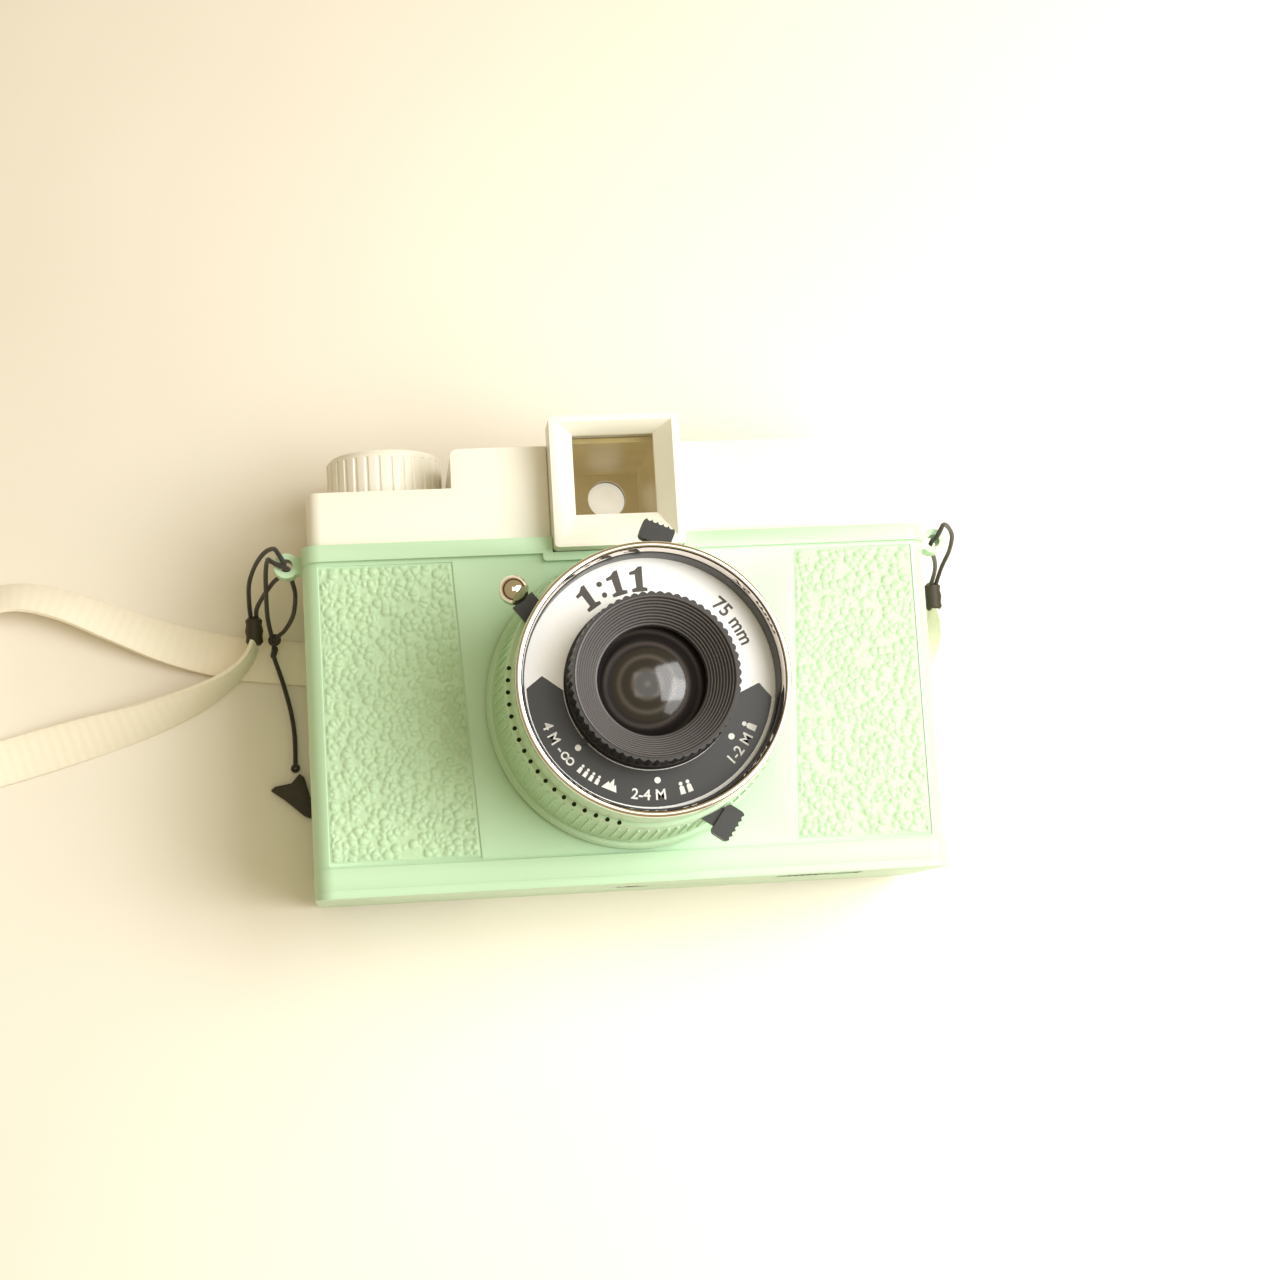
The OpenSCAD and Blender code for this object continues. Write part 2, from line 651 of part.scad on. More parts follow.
module lens_barrel() {
    skirt_z = plate_z - 5;               // step that carries the row of small holes
    color(green) at_lens() difference() {
        rotate_extrude($fn = 128) polygon([
            [throat_r - 1.6, front_in - 1.1], [throat_r, front_in - 1.1], [throat_r, base_z],
            [base_r, base_z], [base_r, base_z + 1.4], [base_r - 0.5, base_z + 1.9],
            [base_r - 1.2, base_z + 1.9], [base_r - 1.3, base_z + 2.6], [base_r - 1.5, base_z + 3.2],
            [27.7, skirt_z], [27.4, skirt_z + 0.7], [26.7, skirt_z + 0.9],
            [26.5, bezel_z - 3.1], [seat_r, bezel_z - 3.1], [seat_r, shutter_z0],
            [seat_r - 1.8, shutter_z0], [seat_r - 1.8, shutter_z0 - 1.5], [26.2, shutter_z0 - 4],
            [27.2, base_z + 2], [throat_r - 1.6, base_z + 2]]);
        // slots for the shutter arm, the mode selector and the aperture lever
        sector(seat_r - 2, 31, 136, 163, lever_z0 - 0.3, lever_z1 + 0.3);
        sector(seat_r - 2, 31, 76, 104, lever_z0 - 0.3, lever_z1 + 0.3);
        sector(seat_r - 2, 31, 262, 307, stop_z0 - 0.3, stop_z1 + 0.3);
        // row of small holes on the step
        for (a = [170 : 5 : 255]) rotate([0, 0, a])
            translate([27.15, 0, skirt_z - 0.4]) cylinder(r = 0.4, h = 2);
    }
    color(green) at_lens() for (a = [0 : 120 : 240])
        sector(throat_r - 0.5, 22.6, a, a + 40, front_in - 1.1, front_in - 0.1);
}

module pivot_post(p, z1, r = pivot_r) {
    translate([p[0], p[1], shutter_z1 - 0.2]) cylinder(r = r, h = z1 - shutter_z1 + 0.2);
}

module shutter_plate() {
    color(black) at_lens() difference() {
        union() {
            translate([0, 0, shutter_z0]) cylinder(r = seat_r - fit, h = shutter_z1 - shutter_z0);
            pivot_post(stop_pivot, stop_z1 + 0.2);
            pivot_post(arm_pivot, lever_z1 + 0.2);
            pivot_post(mode_pivot, lever_z1 + 0.2);
            pivot_post(blade_pivot, blade_z1 + 0.15);
            pivot_post(spring_at, lever_z1 + 0.2, spring_r);
        }
        translate([0, 0, shutter_z0 - 1]) cylinder(r = 5, h = 4);
    }
}

module spacer_plate() {
    color([0.2, 0.2, 0.2]) at_lens() difference() {
        union() {
            translate([0, 0, spacer_z0]) cylinder(r = seat_r - fit, h = spacer_z1 - spacer_z0);
            sector(seat_r - 0.8, seat_r - 0.2, -50, 258, shutter_z1 + 0.02, spacer_z1 - 0.2);
        }
        translate([0, 0, spacer_z0 - 1]) cylinder(r = 4.6, h = 3);
        for (p = [arm_pivot, mode_pivot, blade_pivot, spring_at])
            translate([p[0], p[1], spacer_z0 - 1]) cylinder(r = pivot_r + slip, h = 3);
    }
}

// tab with a toothed edge, pointing along +X
module toothed_tab(reach, z0, z1) {
    translate([0, 0, z0]) linear_extrude(z1 - z0) difference() {
        round_rect(reach - 4.1, -3.3, reach, 3.3, 1);
        for (i = [-2 : 2]) translate([reach + 0.15, 1.15 * i]) circle(0.55, $fn = 24);
    }
}

module lever(p, angle, reach, width, z0, z1) {
    translate([p[0], p[1], 0]) difference() {
        union() {
            translate([0, 0, z0]) cylinder(r = pivot_r + 1.3, h = z1 - z0);
            rotate([0, 0, angle]) translate([0, -width / 2, z0]) cube([reach, width, z1 - z0]);
        }
        translate([0, 0, z0 - 1]) cylinder(r = pivot_r + fit, h = z1 - z0 + 2);
    }
}

module shutter_blade() {
    reach = norm(blade_pivot);
    aim = atan2(-blade_pivot[1], -blade_pivot[0]);
    color([0.3, 0.3, 0.31]) at_lens() union() {
        lever(blade_pivot, aim, reach - 3, 5, blade_z0, blade_z1);
        translate([0, 0, blade_z0]) cylinder(r = 6.2, h = blade_z1 - blade_z0);
    }
}

module shutter_arm() {
    color(black) at_lens() lever(arm_pivot, arm_angle, arm_len - ball_r + 0.4, 4.8, lever_z0, lever_z1);
}

module lever_ball() {
    x = arm_pivot[0] + arm_len * cos(arm_angle);
    y = arm_pivot[1] + arm_len * sin(arm_angle);
    color(chrome) at_lens() difference() {
        translate([x, y, (lever_z0 + lever_z1) / 2]) sphere(ball_r, $fn = 64);
        translate([arm_pivot[0], arm_pivot[1], lever_z0 - eps]) rotate([0, 0, arm_angle])
            translate([0, -2.4, 0]) cube([arm_len - ball_r + 0.41, 4.8, lever_z1 - lever_z0 + 2 * eps]);
    }
}

module lever_spring() {
    mid = (lever_z0 + lever_z1) / 2;
    wire = 0.5;
    color(chrome) at_lens() translate([spring_at[0], spring_at[1], 0]) union() {
        tube(spring_r + fit, spring_r + wire + 0.15, mid - 0.5, mid + 0.5);
        translate([-3.6, spring_r + 0.1, mid - wire / 2]) cube([3.6, wire, wire]);
        translate([-3.6, -spring_r - 0.1 - wire, mid - wire / 2]) cube([3.6, wire, wire]);
    }
}

module mode_selector() {
    mid = (lever_z0 + lever_z1) / 2;
    color(black) at_lens() union() {
        lever(mode_pivot, mode_angle, mode_reach - 2, 4, lever_z0, lever_z1);
        translate([mode_pivot[0], mode_pivot[1], 0]) rotate([0, 0, mode_angle])
            toothed_tab(mode_reach, mid - 1.5, mid + 1.5);
    }
}

module aperture_plate() {
    mid = (stop_z0 + stop_z1) / 2;
    color(black) at_lens() translate([stop_pivot[0], stop_pivot[1], 0]) difference() {
        union() {
            sector(0, stop_arm_r + 4.6, axis_dir - 15, axis_dir + 62, stop_z0, stop_z1);
            translate([0, 0, stop_z0]) cylinder(r = pivot_r + 1.8, h = stop_z1 - stop_z0);
            rotate([0, 0, stop_angle]) translate([0, -2, stop_z0])
                cube([stop_reach - 2, 4, stop_z1 - stop_z0]);
            rotate([0, 0, stop_angle]) toothed_tab(stop_reach, mid - 1.4, mid + 1.4);
        }
        translate([0, 0, stop_z0 - 1]) cylinder(r = pivot_r + fit, h = 4);
        for (i = [0 : 3]) rotate([0, 0, axis_dir + stop_steps[i]])
            translate([stop_arm_r, 0, stop_z0 - 1]) cylinder(d = stop_d[i], h = 4);
    }
}

module scale_plate() {
    color(chrome) at_lens() union() {
        tube(cell_r + fit, seat_r - fit, plate_z - plate_t, plate_z);
        tube(cell_r + fit, boss_r, plate_z - eps, plate_z + 5.5);
    }
    // dark band of the distance zones
    color(black) at_lens() sector(17.2, bezel_in - 0.2, 180, 351.5, plate_z, plate_z + 0.06);
}

module bezel_ring() {
    color(chrome) at_lens() rotate_extrude($fn = 128) polygon([
        [bezel_in, plate_z + 0.1], [seat_r - fit, plate_z + 0.1], [seat_r - fit, bezel_z - 3.05],
        [bezel_r, bezel_z - 3.05], [bezel_r, bezel_z - 0.5], [bezel_r - 0.5, bezel_z],
        [bezel_in + 0.9, bezel_z], [bezel_in + 0.5, bezel_z - 0.5]]);
}

module lens_cell() {
    lip = glass_r;
    color(black) at_lens() rotate_extrude($fn = 96) polygon([
        [glass_r + 0.75, plate_z - 1], [cell_r, plate_z - 1], [cell_r, plate_z + 5.6],
        [14.6, plate_z + 8.2], [14.6, plate_z + 9.2], [focus_r - 0.9, plate_z + 10], [focus_r - 0.9, focus_z],
        [focus_r - 1.3, focus_z - 0.4], [focus_r - 1.7, focus_z - 1.2], [focus_r - 2.3, focus_z - 2.2],
        [focus_r - 2.9, focus_z - 3.3], [focus_r - 3.6, focus_z - 4.4], [focus_r - 4.3, focus_z - 5.5],
        [lip, focus_z - 6.7], [lip, plate_z + 3.1], [glass_r + 0.75, plate_z + 2.6]]);
}

module lens_element() {
    ball = 26;
    color([0.75, 0.85, 0.9, 0.4]) at_lens() intersection() {
        translate([0, 0, plate_z - 0.5]) cylinder(r = glass_r + 0.7, h = 6);
        translate([0, 0, plate_z + 4.4 - ball]) sphere(ball, $fn = 96);
    }
}

module focus_ring() {
    color(black) at_lens() union() {
        rotate_extrude($fn = 96) polygon([
            [14.65, plate_z + 0.6], [focus_r + 0.5, plate_z + 0.6], [focus_r + 0.5, plate_z + 1.2],
            [focus_r, plate_z + 1.5], [focus_r, focus_z - 0.5], [focus_r - 0.4, focus_z],
            [focus_r - 0.84, focus_z], [focus_r - 0.84, plate_z + 9.9], [14.65, plate_z + 9.1]]);
        // pointer that meets the zone dots
        rotate([0, 0, 219]) translate([focus_r, 0, plate_z + 0.6]) linear_extrude(0.6)
            polygon([[0, -1.1], [1.9, 0], [0, 1.1]]);
    }
}

// ---------------------------------------------------------------- strap and cords

// route points are [x, y, z, tilt], with tilt 0 for a ribbon that lies flat
lead_route = [
    [-76.6, 9.6, 7.2, 85], [-78, 6.5, 7.3, 84], [-81, 3.4, 7.1, 80], [-86, 0.2, 6, 70],
    [-93, -2.9, 4.8, 58], [-102, -5.8, 3.7, 45], [-112, -8.3, 2.8, 30], [-122, -10.8, 1.9, 16],
    [-132, -13.3, 1.1, 6], [-142, -15.6, 0.8, 0], [-152, -19, 1.1, 8], [-160, -24.8, 3.4, 40],
    [-166, -33, 5, 84]];
return_route = [
    [-178, -50.5, 5.2, 88], [-169, -45.5, 6, 86], [-159, -37, 6.8, 84], [-151.5, -25.5, 7, 80],
    [-146.5, -12, 6.6, 72], [-143, 1, 5.6, 62], [-140.5, 12, 4.9, 55], [-136, 20, 4.4, 50],
    [-128, 22.6, 4.1, 46], [-118, 20.6, 3.9, 42], [-106, 15.6, 3.2, 32], [-95, 11.2, 2.3, 18],
    [-84, 8.2, 1.2, 5], [-73, 6.4, 0.8, 1], [-55, 4.6, 0.7, 0], [-30, 2.6, 0.7, 0],
    [0, -0.6, 0.7, 0], [30, -4, 0.7, 0], [50, -6, 0.7, 0], [60, -5.4, 0.7, 0],
    [67, -2.4, 1, 4], [72, 2.6, 2.8, 28], [74.4, 7, 4.4, 60], [75.1, 11.6, 5.4, 85]];
loop_left_route = [
    [-77.2, 15, 7.2], [-77.3, 18.4, 11], [-76.8, 21.4, 18], [-75, 23.8, 26], [-72.8, 25, 33],
    [-70.8, 24.9, 37.6], [-69.9, 23.6, 39.6], [-68.8, 21.6, 39.9], [-68.75, 21.5, 36.5],
    [-69.2, 20.8, 31], [-71.6, 20, 24.5], [-74.2, 18.4, 16], [-75.8, 16.8, 10], [-76, 15, 7.2]];
leash_loop_route = [
    [-72.9, 11.2, 7.6], [-73.4, 14.6, 13], [-73.2, 18.6, 22], [-72.8, 21.6, 30], [-72.1, 22.8, 36.6],
    [-71.3, 21.9, 39.3], [-69.4, 20.8, 39.5], [-68.2, 20.3, 39.5], [-67.95, 20.6, 36.5],
    [-67.9, 20.5, 33], [-67.5, 19.6, 29], [-67, 17, 25], [-67.8, 14, 17.5], [-69.8, 11.9, 11], [-71.5, 10.9, 7.6]];
leash_route = [
    [-72.6, 7, 4.6], [-71.6, 3.6, 2.8], [-70.6, 0, 1.7], [-69.6, -4.4, 1.1], [-69, -9, 0.85],
    [-68.9, -13, 0.85], [-69, -16.6, 1.1]];
loop_right_route = [
    [76.2, 16.4, 5.9], [76.4, 19.6, 12], [76.4, 22, 20], [75.2, 23.8, 28], [73, 24.6, 34],
    [71, 24.6, 38], [69.9, 23.4, 39.8], [68.7, 21.5, 39.8], [68.5, 21.3, 36.5],
    [69.2, 20.6, 31], [71.6, 20.2, 24.5], [74, 19.4, 16], [75, 18.2, 10], [75, 16.4, 5.9]];
coil_at = [-212, 0];
coil_in = 46;
coil_out = 60;
sides = 8;

function unit(v) = v / norm(v);
function place(q) = [q[0], q[1], q[2]];
function tangent(route, i) =
    unit(place(route[min(i + 1, len(route) - 1)]) - place(route[max(i - 1, 0)]));
function tilt_of(q) = len(q) > 3 ? q[3] : 0;
function ring(route, i, up, w, t) =
    let(d = tangent(route, i), s = unit(cross(d, up)), u = cross(s, d), a = tilt_of(route[i]),
        across = s * cos(a) + u * sin(a), thick = u * cos(a) - s * sin(a))
    [for (k = [0 : sides - 1]) place(route[i]) + across * (w / 2) * cos(360 * k / sides)
        + thick * (t / 2) * sin(360 * k / sides)];

// one closed solid swept along a route, w wide and t thick
module sweep(route, w, t, up = [0, 0, 1]) {
    n = len(route);
    points = [for (i = [0 : n - 1]) each ring(route, i, up, w, t)];
    around = [for (i = [0 : n - 2], k = [0 : sides - 1])
        let(a = i * sides + k, b = i * sides + (k + 1) % sides)
        each [[b, a, a + sides], [b, a + sides, b + sides]]];
    first = [for (k = [0 : sides - 1]) k];
    last = [for (k = [sides - 1 : -1 : 0]) (n - 1) * sides + k];
    polyhedron(points, concat(around, [first, last]), convexity = 6);
}

module strap_lead() { color(ribbon) sweep(lead_route, strap_w, strap_t); }
module strap_return() { color(ribbon) sweep(return_route, strap_w, strap_t); }
module loop_left() { color(black) sweep(loop_left_route, cord_d, cord_d, [1, 0, 0]); }
module loop_right() { color(black) sweep(loop_right_route, cord_d, cord_d, [1, 0, 0]); }
module leash_loop() { color(black) sweep(leash_loop_route, cord_d, cord_d, [1, 0, 0]); }
module leash_cord() { color(black) sweep(leash_route, cord_d + 0.5, cord_d + 0.5); }

module strap_coil() {
    color(ribbon) translate([coil_at[0], coil_at[1], 0]) tube(coil_in, coil_out, 0, strap_w + 0.5);
}

module ferrule(x, y, z) {
    color(black) translate([x, y, z]) rotate([-90, 0, 0]) union() {
        cylinder(r = 1.6, h = 6);
        translate([0, 0, 0.6]) cylinder(r = 1.9, h = 4.8);
    }
}

module ferrule_left() { ferrule(-76.6, 9.6, 7.2); }
module ferrule_right() { ferrule(75.5, 11.2, 5.8); }

module leash_knot() {
    color(black) union() {
        translate([-72.3, 10.4, 6.6]) sphere(1.7, $fn = 32);
        translate([-72.5, 7.7, 5]) sphere(1.5, $fn = 32);
    }
}

module leash_bead() {
    color(black) translate([-69, -17.4, 1.25]) sphere(1.2, $fn = 32);
}

module cap_tab() {
    color(black) translate([0, 0, 0.05]) linear_extrude(1.5)
        polygon([[-74.6, -22], [-73.6, -21.2], [-70, -20.6], [-68.2, -18.6], [-67.2, -19.4],
                 [-66, -24], [-66, -28.6], [-67.4, -28], [-71.4, -24.4]]);
}

front_shell();
top_cover();
back_cover();
inner_frame();
film_mask();
supply_pin();
takeup_spool();
winding_key();
winding_knob();
ratchet_pawl();
roll_springs();
light_seal();
red_window();
window_shutter();
back_lock();
tripod_bush();
flash_sockets();
finder_frame();
finder_glass();
finder_tunnel();
eyepiece_ring();
eyepiece_lens();
bayonet_plate();
mount_screws();
frame_screws();
lens_barrel();
shutter_plate();
spacer_plate();
shutter_blade();
shutter_arm();
lever_ball();
lever_spring();
mode_selector();
aperture_plate();
scale_plate();
bezel_ring();
lens_cell();
lens_element();
focus_ring();
strap_lead();
strap_coil();
strap_return();
ferrule_left();
ferrule_right();
loop_left();
loop_right();
leash_loop();
leash_cord();
leash_knot();
leash_bead();
cap_tab();
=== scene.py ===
"""Finished look of a mint and cream box camera for roll film, lying on its back."""

import math

import bpy
from mathutils import Matrix, Vector, noise


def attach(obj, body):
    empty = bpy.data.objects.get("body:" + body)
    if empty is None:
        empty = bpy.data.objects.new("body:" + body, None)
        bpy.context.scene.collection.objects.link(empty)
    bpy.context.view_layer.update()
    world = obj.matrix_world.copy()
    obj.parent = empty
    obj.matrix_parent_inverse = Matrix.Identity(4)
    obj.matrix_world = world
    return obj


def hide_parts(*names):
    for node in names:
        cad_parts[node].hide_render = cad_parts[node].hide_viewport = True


bl_info = {
    "name": "Box Camera Looks",
    "version": (1, 0, 0),
    "blender": (4, 5, 0),
    "location": "View3D > Sidebar > Box Camera",
    "description": "Materials, strap, leathercloth and lens details of a box camera",
    "category": "Object",
}

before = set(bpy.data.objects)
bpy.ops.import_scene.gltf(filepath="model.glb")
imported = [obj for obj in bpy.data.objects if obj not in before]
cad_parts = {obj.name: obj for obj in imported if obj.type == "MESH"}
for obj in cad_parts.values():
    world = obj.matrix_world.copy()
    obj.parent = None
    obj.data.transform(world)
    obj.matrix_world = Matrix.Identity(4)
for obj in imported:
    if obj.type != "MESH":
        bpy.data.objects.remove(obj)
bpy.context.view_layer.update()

MM = 0.001

# Leathercloth: height of its sheet, its lower and upper edge, and the flat margin round it.
CLOTH_Z = 43.78
CLOTH_LOW, CLOTH_TOP = -41.0, 19.35
CLOTH_MARGIN = 0.35
CLOTH_ROWS = 260

# Lens: its axis, heights from the floor, and radii.
LENS_AXIS = (1.2, -11.15)
RIB_FOOT, RIB_TOP, RIB_R = 50.5, 66.5, 28.2
RIB_DEPTH, RIB_LEAN = 0.75, 0.75
PLATE_TOP = 74.0
BAND_OUT, BAND_IN = 23.9, 16.9
PRINT_RISE = 0.03
BEZEL_TOP, BEZEL_R, BEZEL_LIP = 82.0, 26.5, 0.55
SLEEVE_TOP = 79.08
FOCUS_TOP = 85.0
FOCUS_MARK = 219
GLASS_R, GLASS_TOP, GLASS_BACK = 11.2, 78.3, 74.4
DOME_R = 19.0
DOME_STEPS = 12
EDGE_TURN = math.asin(GLASS_R / DOME_R)
BAFFLE_OUT, BAFFLE_IN, BAFFLE_LOW = 15.3, 10.9, 78.7
BAFFLE_RIDGES = 9
BAFFLE_PITCH = (BAFFLE_OUT - BAFFLE_IN) / BAFFLE_RIDGES

# Spare strap: middle and height of its coil, where it starts and how far it turns, in degrees, and
# the radius of its two layers and how much each draws in.
COIL = (-212.0, 0.0)
COIL_Z = 4.9
COIL_START, COIL_TURN, COIL_STEP = -46, 285, 15
COIL_IN, COIL_IN_DROP = 56.4, 3.4
COIL_OUT, COIL_OUT_DROP = 60.6, 2.4

# View, lights and room.
VIEW_PLACE = (-0.0552934, -0.0667321, 0.5232784)
VIEW_TURN = (0.1477285, -0.1132975, -0.0602499)
VIEW_LENS = 66.4526
LIGHTS = [
    # name, place, aim, size, power, colour
    ("key", (0.37, 0.05, 0.58), (0.02, 0.0, 0.02), 0.48, 3.9, (1.0, 1.0, 1.0)),
    ("glow", (0.30, -0.12, 0.34), (0.08, -0.06, 0.02), 0.3, 0.9, (1.0, 1.0, 0.98)),
    ("overhead", (0.0, 0.05, 1.2), (0.0, 0.0, 0.0), 0.6, 1.7, (1.0, 1.0, 1.0)),
]
ROOM_STRENGTH = 0.47
ROOM_STOPS = [
    (0.0, (0.24, 0.15, 0.09)), (0.16, (0.14, 0.085, 0.05)), (0.3, (0.98, 0.8, 0.40)),
    (1.0, (1.0, 0.84, 0.46)),
]


def rgb(r, g, b):
    """Display colour, 0 to 255, as the linear colour that shaders use."""
    return tuple(
        c / 255 / 12.92 if c <= 10 else ((c / 255 + 0.055) / 1.055) ** 2.4 for c in (r, g, b)
    )


# ------------------------------------------------------------------ settings


class BoxCameraColours(bpy.types.PropertyGroup):
    """Colours of the main materials."""

    shell: bpy.props.FloatVectorProperty(
        name="Shell", description="Moulded body and barrel", subtype="COLOR", size=3,
        min=0, max=1, default=rgb(196, 228, 194))
    cloth: bpy.props.FloatVectorProperty(
        name="Leathercloth", description="Pebbled side panels", subtype="COLOR", size=3,
        min=0, max=1, default=rgb(195, 225, 188))
    cover: bpy.props.FloatVectorProperty(
        name="Cover", description="Top cover, knob and finder", subtype="COLOR", size=3,
        min=0, max=1, default=rgb(244, 240, 228))
    ribbon: bpy.props.FloatVectorProperty(
        name="Ribbon", description="Woven neck strap", subtype="COLOR", size=3,
        min=0, max=1, default=rgb(255, 247, 230))


class BoxCameraSizes(bpy.types.PropertyGroup):
    """Sizes of the details."""

    pebble: bpy.props.FloatProperty(
        name="Pebble", description="Size of a grain of the leathercloth", unit="LENGTH",
        default=0.0016, min=0.0008, max=0.006)
    relief: bpy.props.FloatProperty(
        name="Relief", description="Height of a grain of the leathercloth", unit="LENGTH",
        default=0.00048, min=0.0001, max=0.001)
    ribbon_width: bpy.props.FloatProperty(
        name="Ribbon width", description="Width of the neck strap", unit="LENGTH",
        default=0.0095, min=0.006, max=0.012)
    ribbon_thick: bpy.props.FloatProperty(
        name="Ribbon thickness", description="Thickness of the neck strap", unit="LENGTH",
        default=0.0010, min=0.0005, max=0.002)
    cord: bpy.props.FloatProperty(
        name="Cord", description="Diameter of the thin cords", unit="LENGTH",
        default=0.0010, min=0.0006, max=0.0015)
    barrel_ribs: bpy.props.IntProperty(
        name="Barrel ribs", description="Number of ribs round the barrel", default=90, min=30, max=180)
    focus_teeth: bpy.props.IntProperty(
        name="Focus teeth", description="Number of grip teeth on the focus ring", default=60,
        min=24, max=120)


def colours():
    return bpy.context.scene.box_camera_colours


def sizes():
    return bpy.context.scene.box_camera_sizes


# ------------------------------------------------------------------ shader writing


class Value:
    """A shader output that can be used in Python arithmetic."""

    def __init__(self, tree, socket):
        self.tree, self.socket = tree, socket

    def _math(self, operation, a, b):
        node = self.tree.nodes.new("ShaderNodeMath")
        node.operation = operation
        for slot, x in zip(node.inputs, (a, b)):
            if isinstance(x, Value):
                self.tree.links.new(x.socket, slot)
            elif x is not None:
                slot.default_value = x
        return Value(self.tree, node.outputs[0])

    def __add__(self, other):
        return self._math("ADD", self, other)

    def __radd__(self, other):
        return self._math("ADD", other, self)

    def __sub__(self, other):
        return self._math("SUBTRACT", self, other)

    def __rsub__(self, other):
        return self._math("SUBTRACT", other, self)

    def __mul__(self, other):
        return self._math("MULTIPLY", self, other)

    def __rmul__(self, other):
        return self._math("MULTIPLY", other, self)

    def __truediv__(self, other):
        return self._math("DIVIDE", self, other)

    def __pow__(self, other):
        return self._math("POWER", self, other)

    def sine(self):
        return self._math("SINE", self, None)

    def size(self):
        return self._math("ABSOLUTE", self, None)


class Finish:
    """One material: a Principled shader and the nodes that feed it."""

    made = {}

    def __init__(self, name, base, rough=0.5, **constants):
        self.mat = bpy.data.materials.new(name)
        self.mat.use_nodes = True
        self.tree = self.mat.node_tree
        self.shader = self.tree.nodes["Principled BSDF"]
        self.base, self.rough = base, rough
        self.put("Base Color", (*base, 1))
        self.put("Roughness", rough)
        for key, value in constants.items():
            self.put(key.replace("_", " "), value)
        self.mat.diffuse_color = (*base, 1)
        Finish.made[name] = self.mat

    def put(self, name, value):
        socket = self.shader.inputs[name]
        if isinstance(value, Value):
            self.tree.links.new(value.socket, socket)
        else:
            socket.default_value = value

    def node(self, kind, settings=None, out=0, **inputs):
        """Adds a node, sets it up, feeds its inputs and returns one output."""
        node = self.tree.nodes.new("ShaderNode" + kind)
        for key, value in (settings or {}).items():
            setattr(node, key, value)
        for key, value in inputs.items():
            socket = node.inputs[int(key[1:])] if key[0] == "i" and key[1:].isdigit() else node.inputs[key]
            if isinstance(value, Value):
                self.tree.links.new(value.socket, socket)
            else:
                socket.default_value = value
        return Value(self.tree, node.outputs[out])

    def place(self):
        return self.node("TexCoord", out=3)

    def uv(self):
        return self.node("TexCoord", out=2)

    def flat(self, where):
        """The first two coordinates of a place, as two values."""
        parts = self.node("SeparateXYZ", Vector=where)
        return parts, Value(self.tree, parts.socket.node.outputs[1])

    def radius(self, centre):
        """Distance from the upright line through centre, which is in millimetres."""
        x, y = self.flat(self.place())
        x, y = x - centre[0] * MM, y - centre[1] * MM
        return (x * x + y * y) ** 0.5

    def shaded(self, *factors):
        """The base colour with each channel made darker by its own factor."""
        return tuple(c * k for c, k in zip(self.base, factors))

    def noise(self, scale, detail=3.0, where=None):
        return self.node("TexNoise", Vector=where or self.place(), Scale=scale, Detail=detail)

    def mix(self, factor, a, b):
        return self.node("Mix", {"data_type": "RGBA"}, out=2, i0=factor,
                         i6=a if isinstance(a, Value) else (*a, 1),
                         i7=b if isinstance(b, Value) else (*b, 1))

    def bump(self, height, strength=0.3, distance=0.0002):
        self.put("Normal", self.node("Bump", Height=height, Strength=strength, Distance=distance))

    def mottle(self, amount=0.08, scale=60, darker=0.85, rough=0.1):
        """Slow colour and roughness changes, as in moulded or handled parts."""
        slow = self.noise(scale)
        shade = tuple(c * darker for c in self.base)
        self.put("Base Color", self.mix((slow - 0.5) * amount * 6 + amount, self.base, shade))
        self.put("Roughness", (slow - 0.5) * rough + self.rough)
        return self


def moulded(name, base, rough=0.42, grain=0.12):
    """Injection-moulded plastic: faint mottling and a fine spark-eroded grain."""
    finish = Finish(name, base, rough).mottle(0.08, 45, 0.9, 0.12)
    fine = finish.noise(1500, 2.0)
    finish.bump(fine + finish.noise(220, 2.0) * 0.6, grain, 0.00008)
    return finish.mat


def metal(name, base, rough=0.16, brushed=False, tarnish=0.25, mirror=1.0):
    """Bright metal with faint tarnish and, if brushed, circular brush marks."""
    finish = Finish(name, base, rough, Metallic=mirror)
    slow = finish.noise(90)
    finish.put("Base Color", finish.mix((slow - 0.42) * tarnish * 4, base, tuple(c * 0.6 for c in base)))
    finish.put("Roughness", (slow - 0.5) * 0.12 + rough)
    stretch = (60, 60, 4000) if brushed else (500, 500, 500)
    where = finish.node("Mapping", Vector=finish.place(), Scale=stretch)
    finish.bump(finish.noise(1.0, 2.0, where), 0.08, 0.00005)
    return finish.mat


def smooth(name, base, rough):
    """Turned plastic without grain, as inside the lens, with faint dust."""
    finish = Finish(name, base, rough).mottle(0.05, 200, 0.85, 0.08)
    return finish.mat


def groove_shaded(name, base, groove):
    """Moulded baffle with painted shade in the grooves between the ridges, which makes them darker than
    their crests.
    """
    finish = Finish(name, base, 0.36)
    steps = (finish.radius(LENS_AXIS) - BAFFLE_IN * MM) / (BAFFLE_PITCH * MM)
    # Painted shade: the colour runs to the dark groove colour between the ridges and to the base colour on
    # the crests.
    unshaded_crest = (steps * math.tau + 0.6).sine() * 0.5 + 0.5
    finish.put("Base Color", finish.mix(unshaded_crest ** 0.7, groove, base))
    finish.put("Roughness", finish.noise(90) * 0.12 + 0.3)
    return finish.mat


def woven(name, base, across=26.0, along=1400.0):
    """Flat ribbon: ribs across it, a finer warp along it, painted shade between the ribs, and soft colour
    changes.
    """
    finish = Finish(name, base, 0.62, Sheen_Weight=0.35, Sheen_Roughness=0.4)
    u, v = finish.flat(finish.uv())
    weft = (v * along * 2).sine() * 0.5 + 0.5
    warp = (u * across * math.tau).sine() * 0.5 + 0.5
    weave = weft * 0.6 + warp * 0.4
    slow = finish.noise(40)
    edge = ((u - 0.5).size() * 2) ** 10.0
    # Painted shade where the weave is low, random tone changes, and darker towards both edges.
    rib_shade_and_tone = (1 - weave) * 0.12 + (slow - 0.45) * 0.4 + edge * 0.2
    finish.put("Base Color", finish.mix(rib_shade_and_tone, base, finish.shaded(0.82, 0.76, 0.66)))
    finish.bump(weave + finish.noise(900, 2.0) * 0.3, 0.5, 0.00012)
    return finish.mat


